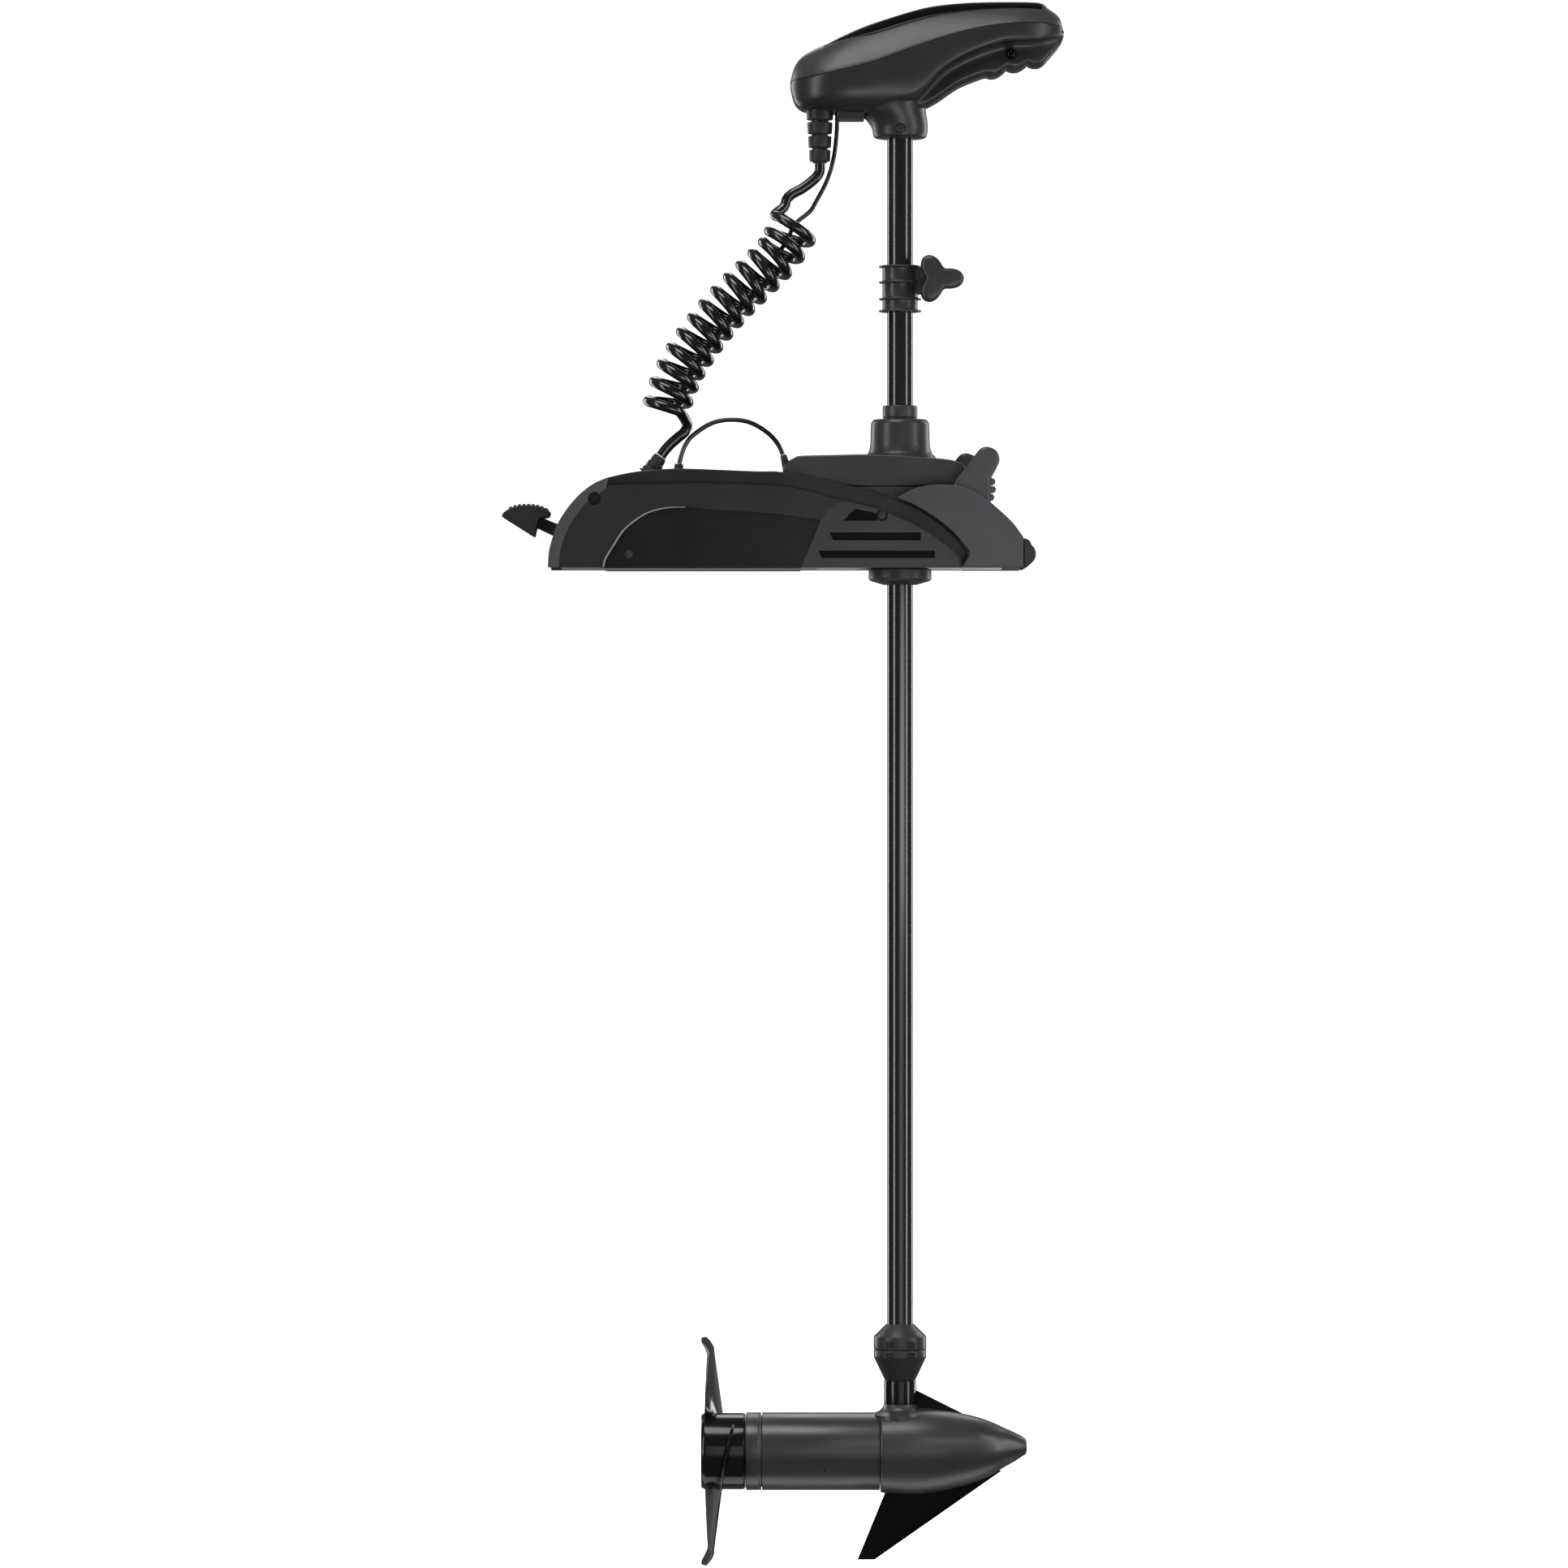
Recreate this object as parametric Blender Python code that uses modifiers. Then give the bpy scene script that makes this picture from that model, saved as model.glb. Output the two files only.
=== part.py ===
"""Bow-mount electric trolling motor, built as an assembly of separate pieces.

Metres, +Z up. The deck is the plane Z = 0, +X points forward over the bow, and the mount's centre
plane is Y = 0. The origin is on the deck under the mount. The motor stands in its fishing position:
the shaft is vertical and the steering housing is down in the mount.
"""

import math

import bmesh
import bpy
from mathutils import Matrix, Vector

# Driving dimensions
GAP = 0.0003
SHAFT_X = 0.2265
SHAFT_R = 0.0150
SHAFT_BORE_R = 0.0125
SHAFT_TOP = 0.5300
SHAFT_LENGTH = 1.524
PIVOT_X, PIVOT_Z = 0.1241, 0.0837
PIVOT_PIN_R = 0.0060
FRAME_IN, FRAME_OUT = 0.0503, 0.0600
PLATE_OUT = 0.0690
RAMP_OUT = 0.0840
RAIL_IN, RAIL_OUT, RAIL_TOP = 0.0385, 0.0500, 0.0180
FLOOR_TOP = 0.0050
HOUSING_HALF = 0.0475
HOUSING_WALL = 0.0035
SEAM_Z = 0.0935
SLEEVE_R = 0.0193
BEARING_R = 0.0260
TOWER_R = 0.0345
TOWER_TOP = 0.1730
SLEEVE_TOP = 0.1890
GEAR_Z0, GEAR_Z1 = 0.0620, 0.0720
GEAR_TEETH, PINION_TEETH = 36, 9
TOOTH_MODULE = 0.0018
UNIT_Z = -1.0218
UNIT_R = 0.0450
UNIT_WALL = 0.0035
HUB_R = 0.0442
PROP_R = 0.1320
HUB_X0, HUB_X1 = -0.0038, 0.0470
BELL_X1 = 0.0662
CENTRE_X1 = 0.2033
COLLAR_Z0, COLLAR_Z1 = 0.2970, 0.3520
KNOB_X, KNOB_Z = 0.2700, 0.3346
LEVER_X, LEVER_Z = -0.0865, 0.0150
LATCH_Z, LATCH_TIP_X = 0.0125, 0.1480
CORD_R = 0.00485
COIL_R = 0.0272
SONAR_R = 0.0020
LOOP_R = 0.0021
RELIEF_X, RELIEF_Y = 0.1335, -0.0120
SCREW_Z = 0.5080
TIE_X, TIE_Z = -0.1260, 0.0790
PANEL_X0, PANEL_X1 = 0.1340, 0.3960
GLAND_Y, GLAND_Z = -0.0300, 0.1103
COIL_GLAND = (-0.0640, 0.0135, 0.0187, 0.0130, 0.0072)
LOOP_GLAND = (-0.0301, 0.0010, 0.0099, 0.0072, 0.0050)

parts = None
cutters = None


# Scene and material helpers
def make_collection(name):
    collection = bpy.data.collections.new(name)
    bpy.context.scene.collection.children.link(collection)
    return collection


def paint(obj, name, color, roughness, metallic=0.0):
    material = bpy.data.materials.new(name)
    material.use_nodes = True
    shader = material.node_tree.nodes["Principled BSDF"]
    shader.inputs["Base Color"].default_value = (*color, 1.0)
    shader.inputs["Roughness"].default_value = roughness
    shader.inputs["Metallic"].default_value = metallic
    obj.data.materials.clear()
    obj.data.materials.append(material)


DARK_PLASTIC = ((0.030, 0.031, 0.034), 0.55)
BLACK_PLASTIC = ((0.012, 0.012, 0.013), 0.45)
GLOSS_BLACK = ((0.006, 0.006, 0.007), 0.12)
BLACK_RUBBER = ((0.014, 0.014, 0.014), 0.70)
ALUMINIUM = ((0.40, 0.41, 0.42), 0.40, 1.0)
STEEL = ((0.55, 0.55, 0.56), 0.30, 1.0)
BRONZE = ((0.55, 0.36, 0.16), 0.35, 1.0)
COPPER = ((0.72, 0.34, 0.18), 0.35, 1.0)
MAGNET = ((0.09, 0.09, 0.10), 0.60, 0.6)
BOARD_GREEN = ((0.02, 0.16, 0.06), 0.50)


def pivot_empty(name, location):
    empty = bpy.data.objects.new(name, None)
    empty.location = location
    empty.empty_display_size = 0.03
    parts.objects.link(empty)
    return empty


def attach(empty, *objects):
    for obj in objects:
        obj.parent = empty
        obj.matrix_parent_inverse = Matrix.Translation(empty.location).inverted()


def add_object(name, mesh, look=None, matrix=None):
    obj = bpy.data.objects.new(name, mesh)
    if matrix is not None:
        obj.matrix_world = matrix
    if look is None:
        cutters.objects.link(obj)
        obj.hide_render = True
        obj.display_type = "WIRE"
    else:
        parts.objects.link(obj)
        paint(obj, name, *look)
    return obj


def mesh_from(bm, name):
    bmesh.ops.recalc_face_normals(bm, faces=bm.faces)
    mesh = bpy.data.meshes.new(name)
    bm.to_mesh(mesh)
    bm.free()
    return mesh


def shade_round(obj, degrees=35):
    obj.data.shade_smooth()
    obj.data.set_sharp_from_angle(angle=math.radians(degrees))


# Shape helpers
def smooth_curve(points, steps):
    """A Catmull-Rom curve through the points, with this many steps from each to the next."""
    points = [Vector(p) for p in points]
    padded = [2 * points[0] - points[1], *points, 2 * points[-1] - points[-2]]
    curve = []
    for i in range(1, len(padded) - 2):
        p0, p1, p2, p3 = padded[i - 1 : i + 3]
        for step in range(steps):
            t = step / steps
            a = 2 * p1 + (p2 - p0) * t
            b = (2 * p0 - 5 * p1 + 4 * p2 - p3) * t**2
            c = (3 * p1 - p0 - 3 * p2 + p3) * t**3
            curve.append((a + b + c) / 2)
    curve.append(points[-1])
    return curve


def slab(name, outline, low, high, look=None, plane="XZ"):
    """A flat outline given in the plane, thick from low to high along the third axis."""
    curve = bpy.data.curves.new(name, "CURVE")
    curve.dimensions = "2D"
    curve.fill_mode = "BOTH"
    curve.extrude = (high - low) / 2
    spline = curve.splines.new("POLY")
    spline.points.add(len(outline) - 1)
    for point, place in zip(spline.points, outline):
        point.co = (place[0], place[1], 0, 1)
    spline.use_cyclic_u = True
    middle = (low + high) / 2
    if plane == "XZ":
        matrix = Matrix.Translation((0, middle, 0)) @ Matrix.Rotation(math.pi / 2, 4, "X")
    elif plane == "XY":
        matrix = Matrix.Translation((0, 0, middle))
    else:
        turn = Matrix(((0, 0, 1, 0), (1, 0, 0, 0), (0, 1, 0, 0), (0, 0, 0, 1)))
        matrix = Matrix.Translation((middle, 0, 0)) @ turn
    drawn = bpy.data.objects.new(name + "_outline", curve)
    bpy.context.scene.collection.objects.link(drawn)
    bpy.context.view_layer.update()
    depsgraph = bpy.context.evaluated_depsgraph_get()
    mesh = bpy.data.meshes.new_from_object(drawn.evaluated_get(depsgraph))
    bpy.data.objects.remove(drawn)
    bm = bmesh.new()
    bm.from_mesh(mesh)
    bmesh.ops.remove_doubles(bm, verts=bm.verts, dist=1e-6)
    bmesh.ops.dissolve_limit(bm, angle_limit=0.001, verts=bm.verts, edges=bm.edges)
    bmesh.ops.recalc_face_normals(bm, faces=bm.faces)
    bm.to_mesh(mesh)
    bm.free()
    mesh.name = name
    mesh.materials.clear()
    return add_object(name, mesh, look, matrix)


def block(name, low, high, look=None):
    bm = bmesh.new()
    bmesh.ops.create_cube(bm, size=1)
    size = Vector(high) - Vector(low)
    middle = (Vector(high) + Vector(low)) / 2
    bmesh.ops.scale(bm, vec=size, verts=bm.verts)
    bmesh.ops.translate(bm, vec=middle, verts=bm.verts)
    return add_object(name, mesh_from(bm, name), look)


def rod(name, start, end, radius, look=None, segments=16, end_radius=None):
    start, end = Vector(start), Vector(end)
    way = end - start
    turn = way.to_track_quat("Z", "Y").to_matrix().to_4x4()
    bm = bmesh.new()
    bmesh.ops.create_cone(
        bm,
        cap_ends=True,
        segments=segments,
        radius1=radius,
        radius2=radius if end_radius is None else end_radius,
        depth=way.length,
        matrix=Matrix.Translation((start + end) / 2) @ turn,
    )
    obj = add_object(name, mesh_from(bm, name), look)
    shade_round(obj)
    return obj


def turned(name, profile, origin, axis, look=None, steps=24, closed=False):
    """Spins the profile of (radius, height) about an axis through the origin."""
    mesh = bpy.data.meshes.new(name)
    count = len(profile)
    edges = [(i, i + 1) for i in range(count - 1)]
    if closed:
        edges.append((count - 1, 0))
    mesh.from_pydata([(r, 0, z) for r, z in profile], edges, [])
    turns = {
        "Z": Matrix.Identity(4),
        "X": Matrix.Rotation(math.pi / 2, 4, "Y"),
        "Y": Matrix.Rotation(-math.pi / 2, 4, "X"),
    }
    obj = add_object(name, mesh, look, Matrix.Translation(origin) @ turns[axis])
    screw = obj.modifiers.new("Screw", "SCREW")
    screw.axis = "Z"
    screw.steps = steps
    screw.render_steps = steps
    screw.use_merge_vertices = True
    screw.merge_threshold = 0.00001
    screw.use_smooth_shade = True
    return obj


def ring(name, inner, outer, low, high, origin, axis, look=None, steps=24):
    profile = [(outer, high), (outer, low), (inner, low), (inner, high)]
    return turned(name, profile, origin, axis, look, steps, closed=True)


def loft(name, sections, look=None):
    """Skins rings of equally many points, and closes both ends."""
    bm = bmesh.new()
    rings = [[bm.verts.new(point) for point in section] for section in sections]
    count = len(rings[0])
    for a, b in zip(rings, rings[1:]):
        for i in range(count):
            j = (i + 1) % count
            bm.faces.new((a[i], a[j], b[j], b[i]))
    bm.faces.new(rings[0])
    bm.faces.new(rings[-1])
    obj = add_object(name, mesh_from(bm, name), look)
    shade_round(obj)
    return obj


def tube(name, route, radius, look, resolution=2):
    curve = bpy.data.curves.new(name, "CURVE")
    curve.dimensions = "3D"
    curve.bevel_depth = radius
    curve.bevel_resolution = resolution
    curve.use_fill_caps = True
    spline = curve.splines.new("POLY")
    spline.points.add(len(route) - 1)
    for point, place in zip(spline.points, route):
        point.co = (*place, 1)
    obj = bpy.data.objects.new(name, curve)
    parts.objects.link(obj)
    paint(obj, name, *look)
    return obj


def combine(target, other, operation, solver="EXACT"):
    modifier = target.modifiers.new(operation.title(), "BOOLEAN")
    modifier.operation = operation
    modifier.object = other
    modifier.solver = solver
    return target


def cut(target, *others, solver="EXACT"):
    for other in others:
        combine(target, other, "DIFFERENCE", solver)
    return target


def join(target, *others):
    for other in others:
        combine(target, other, "UNION")
    return target


def inset(outline, distance):
    """The outline moved inwards by a distance; it runs either way round."""
    area = sum(a[0] * b[1] - b[0] * a[1] for a, b in zip(outline, outline[1:] + outline[:1]))
    side = 1 if area > 0 else -1
    moved = []
    for i, here in enumerate(outline):
        before = Vector(outline[i - 1]) - Vector(here)
        after = Vector(outline[(i + 1) % len(outline)]) - Vector(here)
        before.normalize()
        after.normalize()
        normal_in = Vector((before.y, -before.x)) * side
        normal_out = Vector((-after.y, after.x)) * side
        mitre = normal_in + normal_out
        mitre /= max(mitre.length_squared / 2, 0.35)
        moved.append((here[0] + mitre.x * distance, here[1] + mitre.y * distance))
    return moved


def arc(centre, radius, start, end, steps):
    """Points on a circle, from one angle in degrees to another."""
    angles = [math.radians(start + (end - start) * i / steps) for i in range(steps + 1)]
    return [(centre[0] + radius * math.cos(a), centre[1] + radius * math.sin(a)) for a in angles]


def gear_outline(centre, teeth, phase=0.0):
    """Trapezoid teeth on the pitch circle that the tooth module gives."""
    pitch = teeth * TOOTH_MODULE / 2
    outline = []
    for tooth in range(teeth):
        for share, radius in ((-0.33, -1.20), (-0.11, 0.80), (0.11, 0.80), (0.33, -1.20)):
            angle = 2 * math.pi * (tooth + share + phase) / teeth
            reach = pitch + radius * TOOTH_MODULE
            outline.append((centre[0] + reach * math.cos(angle), centre[1] + reach * math.sin(angle)))
    return outline


# The mount's side outlines, in X and Z
FRAME_LEFT = [
    (-0.1795, 0.0000), (-0.1785, 0.0170), (-0.1743, 0.0338), (-0.1680, 0.0507), (-0.1575, 0.0674),
    (-0.1429, 0.0842), (-0.1261, 0.0968), (-0.1092, 0.1040),
]
FRAME_TOP = [
    (-0.0777, 0.1105), (-0.0421, 0.1136), (-0.0106, 0.1136), (0.0583, 0.1109), (0.0906, 0.1099),
    (0.1446, 0.0991), (0.1921, 0.0883), (0.2137, 0.0808), (0.2439, 0.0688), (0.2668, 0.0545),
    (0.2848, 0.0397), (0.2970, 0.0260), (0.3044, 0.0149),
]
PLATE_TOP = [
    (-0.1092, 0.0945), (-0.0777, 0.0957), (0.0000, 0.0964), (0.0583, 0.0948), (0.1014, 0.0915),
    (0.1446, 0.0807), (0.1965, 0.0688), (0.2137, 0.0623), (0.2482, 0.0473), (0.2741, 0.0300),
    (0.2914, 0.0149),
]
RECESS = [
    (-0.1050, 0.0233), (-0.0925, 0.0423), (-0.0777, 0.0548), (-0.0631, 0.0632), (-0.0421, 0.0684),
    (-0.0211, 0.0691), (0.0103, 0.0664), (0.0754, 0.0622), (0.1014, 0.0590), (0.1382, 0.0548),
    (0.1230, 0.0278), (0.1122, 0.0062),
]
RAMP_TOP = [
    (0.2310, 0.0850), (0.2439, 0.0904), (0.2633, 0.0943), (0.2957, 0.0930), (0.3173, 0.0839),
    (0.3367, 0.0678), (0.3540, 0.0516), (0.3670, 0.0345),
]
HORN = [
    (0.2881, 0.0800), (0.2881, 0.0980), (0.3022, 0.1163), (0.3151, 0.1336), (0.3205, 0.1379),
    (0.3281, 0.1384), (0.3367, 0.1336), (0.3400, 0.1239), (0.3367, 0.1142), (0.3302, 0.1012),
    (0.3307, 0.0883), (0.3270, 0.0680), (0.3100, 0.0600),
]
HOUSING_TOP = [
    (0.0906, 0.1060), (0.0912, 0.1160), (0.0971, 0.1228), (0.1050, 0.1275), (0.1122, 0.1293),
    (0.1878, 0.1310), (0.2687, 0.1265), (0.2871, 0.1239), (0.2985, 0.1190), (0.3010, 0.1150),
    (0.2900, 0.0970),
]


def both_sides(build):
    """Builds a mirrored pair: side is -1 for the near side and 1 for the far one."""
    for label, side in (("near", -1), ("far", 1)):
        build(label, side)


def span(side, low, high):
    """A range of Y on one side of the centre plane."""
    return (side * high, side * low) if side < 0 else (low, high)


def base_extrusion():
    """The deck plate: a floor, two rails with an open slot between them, and six mounting holes."""
    floor = block("base_extrusion", (-0.1650, -RAIL_OUT, 0), (0.1300, RAIL_OUT, FLOOR_TOP), ALUMINIUM)
    for side in (-1, 1):
        low, high = span(side, RAIL_IN, RAIL_OUT)
        rail = block(f"rail_{side}", (-0.1640, low, 0.0002), (0.3450, high, RAIL_TOP))
        join(floor, rail)
    outer_holes = [(-0.140, 0.0), (0.112, 0.0)]
    inner_holes = [(x, y) for x in (-0.055, 0.055) for y in (-0.022, 0.022)]
    for x, y in outer_holes + inner_holes:
        cut(floor, rod("deck_hole", (x, y, -0.01), (x, y, 0.02), 0.0034, segments=12))
    cut(floor, rod("rail_lever_hole", (LEVER_X, -0.1, LEVER_Z), (LEVER_X, 0.1, LEVER_Z), 0.0043, segments=12))
    return floor


def frame_outline():
    return [*FRAME_LEFT, *FRAME_TOP, (0.2979, 0.0040), (0.2979, 0.0)]


def side_frame(label, side):
    low, high = span(side, FRAME_IN, FRAME_OUT)
    frame = slab(f"side_frame_{label}", frame_outline(), low, high, BLACK_PLASTIC)
    pin_hole = rod(f"pin_hole_{label}", (PIVOT_X, -0.1, PIVOT_Z), (PIVOT_X, 0.1, PIVOT_Z), PIVOT_PIN_R + GAP)
    tie_hole = rod(f"tie_hole_{label}", (TIE_X, -0.1, TIE_Z), (TIE_X, 0.1, TIE_Z), 0.0043)
    lever_hole = rod(f"lever_hole_{label}", (LEVER_X, -0.1, LEVER_Z), (LEVER_X, 0.1, LEVER_Z), 0.0043)
    return cut(frame, pin_hole, tie_hole, lever_hole)


def side_plate(label, side):
    """The outer cover plate with its arched recess, two slots, a pocket and a screw well."""
    outline = [*FRAME_LEFT, *PLATE_TOP, (0.2979, 0.0073), (0.2979, 0.0)]
    low, high = span(side, FRAME_OUT + GAP, PLATE_OUT)
    plate = slab(f"side_plate_{label}", outline, low, high, DARK_PLASTIC)
    bottom = -0.001
    recess = [(-0.1160, bottom), *RECESS, (0.1110, bottom)]
    floor_in, floor_out = span(side, PLATE_OUT - 0.0020, PLATE_OUT + 0.01)
    cut(plate, slab(f"recess_{label}", recess, floor_in, floor_out))
    slots = [(0.1446, 0.2493, 0.0310, 0.0401), (0.1316, 0.2655, 0.0107, 0.0192)]
    for number, (x0, x1, z0, z1) in enumerate(slots):
        deep_in, deep_out = span(side, PLATE_OUT - 0.0050, PLATE_OUT + 0.01)
        cut(plate, block(f"slot_{label}_{number}", (x0, deep_in, z0), (x1, deep_out, z1)))
    pocket = [(0.1619, 0.0538), (0.1727, 0.0672), (0.1985, 0.0612), (0.1985, 0.0538)]
    cut(plate, slab(f"pocket_{label}", pocket, *span(side, PLATE_OUT - 0.0050, PLATE_OUT + 0.01)))
    for x, z, radius in ((0.2046, 0.0600, 0.0062), (TIE_X, TIE_Z, 0.0075)):
        hole = rod(f"well_{label}", (x, side * (FRAME_OUT - 0.005), z), (x, side * 0.09, z), radius)
        cut(plate, hole)
    return plate


def ramp_outline():
    """The ramp follows the frame's front edge at a small gap."""
    edge = [(0.2220, 0.0800), (0.2445, 0.0700), (0.2680, 0.0552), (0.2862, 0.0403), (0.2985, 0.0263),
            (0.3056, 0.0149), (0.2990, 0.0038), (0.2990, 0.0)]
    return [*edge[::-1], *RAMP_TOP, (0.3670, 0.0)]


def motor_ramp(label, side):
    low, high = span(side, RAIL_OUT + GAP, RAMP_OUT)
    ramp = slab(f"motor_ramp_{label}", ramp_outline(), low, high, DARK_PLASTIC)
    shift = 0.0 if side < 0 else -0.0207
    horn = [(x + shift, z - 0.0022 * (side > 0)) for x, z in HORN]
    horn_low, horn_high = span(side, RAIL_OUT + 0.0030, RAIL_OUT + 0.0220)
    join(ramp, slab(f"horn_{label}", horn, horn_low, horn_high))
    return ramp


def bow_bumper(label, side):
    """The rubber tip that takes the knocks at the front of a ramp."""
    nose = arc((0.3680, 0.0150), 0.0134, 50, -60, 6)
    outline = [(0.3673, 0.0), (0.3673, 0.0342), (0.3740, 0.0310), *nose, (0.3700, 0.0)]
    low, high = span(side, RAIL_OUT + GAP, RAMP_OUT)
    return slab(f"bow_bumper_{label}", outline, low, high, BLACK_RUBBER)


def rear_cover():
    """The cover between the side frames over the release lever, open below and at its front end."""
    top = [(-0.1745, 0.0300), (-0.1660, 0.0480), (-0.1555, 0.0650), (-0.1415, 0.0815), (-0.1250, 0.0937),
           (-0.1050, 0.1020), (-0.0777, 0.1072), (-0.0421, 0.1100), (0.0000, 0.1100)]
    inner = [(0.0000, 0.1060), (-0.0421, 0.1060), (-0.0777, 0.1032), (-0.1035, 0.0982), (-0.1228, 0.0900),
             (-0.1385, 0.0785), (-0.1520, 0.0628), (-0.1620, 0.0465), (-0.1700, 0.0300)]
    cover = slab("rear_cover", top + inner, -0.0500, 0.0500, BLACK_PLASTIC)
    for side in (-1, 1):
        low, high = span(side, 0.0470, 0.0500)
        foot = [(-0.0010, 0.1090), (-0.0010, 0.0200), (-0.1500, 0.0200), (-0.1600, 0.0350)]
        wall = [(-0.1722, 0.0350), *top[1:8], *foot]
        join(cover, slab(f"cover_wall_{side}", wall, low, high))
    tie = rod("cover_tie_hole", (TIE_X, -0.1, TIE_Z), (TIE_X, 0.1, TIE_Z), 0.0043)
    slot = block("lever_slot", (-0.1900, -0.0140, 0.0200), (-0.1550, 0.0140, 0.0640))
    cut(cover, tie, slot)
    for seat in (gland("coil_gland_seat", *COIL_GLAND, GAP), gland("loop_gland_seat", *LOOP_GLAND, GAP)):
        cut(cover, seat)
    return cover


def gland(name, x, lean, height, base_r, top_r, room=0.0, look=None):
    """A rubber cable gland with a foot through the cover, leaning along the cable."""
    foot_z, base_z = 0.1035 - room * 10, 0.1080 - room
    top = Vector((x + lean, GLAND_Y, GLAND_Z + height))
    body = rod(name, (x, GLAND_Y, base_z), top, base_r + room, look, 16, top_r + room)
    join(body, rod(name + "_foot", (x, GLAND_Y, foot_z), (x, GLAND_Y, base_z + 0.004), base_r * 0.5 + room))
    return body


def release_lever():
    """The foot pedal, its arm with a crank for the latch, and the pad's treads."""
    arm_outline = [
        (-0.1960, 0.0480), (-0.1900, 0.0600), (-0.1700, 0.0520), (-0.1400, 0.0400), (-0.1000, 0.0280),
        (-0.0860, 0.0265), (-0.0770, 0.0220), (-0.0745, 0.0150), (-0.0790, 0.0075), (-0.0880, 0.0055),
        (-0.1000, 0.0090), (-0.1300, 0.0200), (-0.1640, 0.0330),
    ]
    arm = slab("release_lever_arm", arm_outline, -0.0100, 0.0100, BLACK_PLASTIC)
    cut(arm, rod("lever_bore", (LEVER_X, -0.02, LEVER_Z), (LEVER_X, 0.02, LEVER_Z), 0.0043))
    pad_outline = [
        (-0.2341, 0.0600), (-0.2330, 0.0635), (-0.2247, 0.0690), (-0.2143, 0.0727), (-0.1995, 0.0732),
        (-0.1889, 0.0712), (-0.1775, 0.0660), (-0.1800, 0.0600), (-0.1905, 0.0580), (-0.1950, 0.0440),
        (-0.1960, 0.0369),
    ]
    pad = slab("release_lever_pad", pad_outline, -0.0300, 0.0300, BLACK_PLASTIC)
    socket = [(x, z) for x, z in inset(arm_outline, -0.0005)]
    cut(pad, slab("pad_socket", socket, -0.0104, 0.0104))
    return arm, pad


def latch():
    """The bolt under the lever that reaches the steering housing, and its spring."""
    bolt = rod("latch_bolt", (-0.0560, 0, LATCH_Z), (LATCH_TIP_X, 0, LATCH_Z), 0.0050, STEEL, 16)
    spring_route = []
    turns, per_turn = 5, 8
    for i in range(turns * per_turn + 1):
        angle = 2 * math.pi * i / per_turn
        x = -0.0200 + 0.0600 * i / (turns * per_turn)
        spring_route.append((x, 0.0066 * math.cos(angle), LATCH_Z + 0.0066 * math.sin(angle)))
    tube("latch_spring", spring_route, 0.0006, STEEL, 1)
    return bolt


def housing_lower_outline():
    """The tub's side outline: round about the tilt pivot, so it clears the deck plate as it tilts."""
    back = arc((PIVOT_X, PIVOT_Z), 0.0460, 168, 270, 8)
    return [*back, (0.1700, 0.0245), (0.1800, 0.0200), (0.2860, 0.0200), (0.2960, 0.0400), (0.2900, SEAM_Z)]


def steering_housing():
    tub_outline = housing_lower_outline()
    half = HOUSING_HALF
    tub = slab("housing_tub", tub_outline, -half, half, DARK_PLASTIC)
    join(tub, block("latch_catch", (LATCH_TIP_X + 0.0025, -0.0100, 0.0065), (0.1650, 0.0100, 0.0310)))
    room = inset(tub_outline, HOUSING_WALL)
    room[0] = (room[0][0] - 0.0008, SEAM_Z + 0.01)
    room[-1] = (room[-1][0], SEAM_Z + 0.01)
    inner = half - HOUSING_WALL
    cut(tub, slab("tub_room", room, -inner, inner))
    cut(tub, rod("tub_bore", (SHAFT_X, 0, 0.0), (SHAFT_X, 0, 0.05), SLEEVE_R + 0.0006, segments=24))
    pin_bore = rod("housing_pin_bore", (PIVOT_X, -0.1, PIVOT_Z), (PIVOT_X, 0.1, PIVOT_Z), PIVOT_PIN_R + GAP)
    cut(tub, pin_bore)
    top = [(0.0926, SEAM_Z + GAP), *HOUSING_TOP, (0.2900, SEAM_Z + GAP)]
    cover = slab("housing_cover", top, -half, half, DARK_PLASTIC)
    bevel = cover.modifiers.new("Bevel", "BEVEL")
    bevel.width = 0.0060
    bevel.segments = 3
    bevel.limit_method = "ANGLE"
    bevel.angle_limit = math.radians(60)
    tower_profile = [
        (0.0, TOWER_TOP), (TOWER_R - 0.0035, TOWER_TOP), (TOWER_R - 0.0008, TOWER_TOP - 0.0030),
        (TOWER_R, 0.1380), (TOWER_R + 0.0040, 0.1290), (TOWER_R + 0.0040, 0.1200), (0.0, 0.1200),
    ]
    join(cover, turned("tower", tower_profile, (SHAFT_X, 0, 0), "Z"))
    room_top = [(0.0965, SEAM_Z - 0.01), (0.0965, 0.1120), (0.1010, 0.1190), (0.1130, 0.1255), (0.2600, 0.1230),
                (0.2930, 0.1150), (0.2860, 0.0980), (0.2860, SEAM_Z - 0.01)]
    cut(cover, slab("cover_room", room_top, -inner, inner))
    low = (SHAFT_X, 0, 0.08)
    cut(cover, rod("bearing_bore", low, (SHAFT_X, 0, TOWER_TOP - 0.004), BEARING_R + GAP, segments=24))
    cut(cover, rod("sleeve_bore", low, (SHAFT_X, 0, 0.2), SLEEVE_R + 0.0005, segments=24))
    return tub, cover


def lower_bearing_collar():
    """Hangs under the tub between the rails and guides the shaft below the deck."""
    profile = [
        (0.0300, 0.0197), (0.0300, 0.0010), (0.0362, -0.0010), (0.0362, -0.0120), (0.0345, -0.0140),
        (0.0185, -0.0185), (0.0155, -0.0185), (0.0155, 0.0197),
    ]
    return turned("lower_bearing_collar", profile, (SHAFT_X, 0, 0), "Z", DARK_PLASTIC, closed=True)


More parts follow.
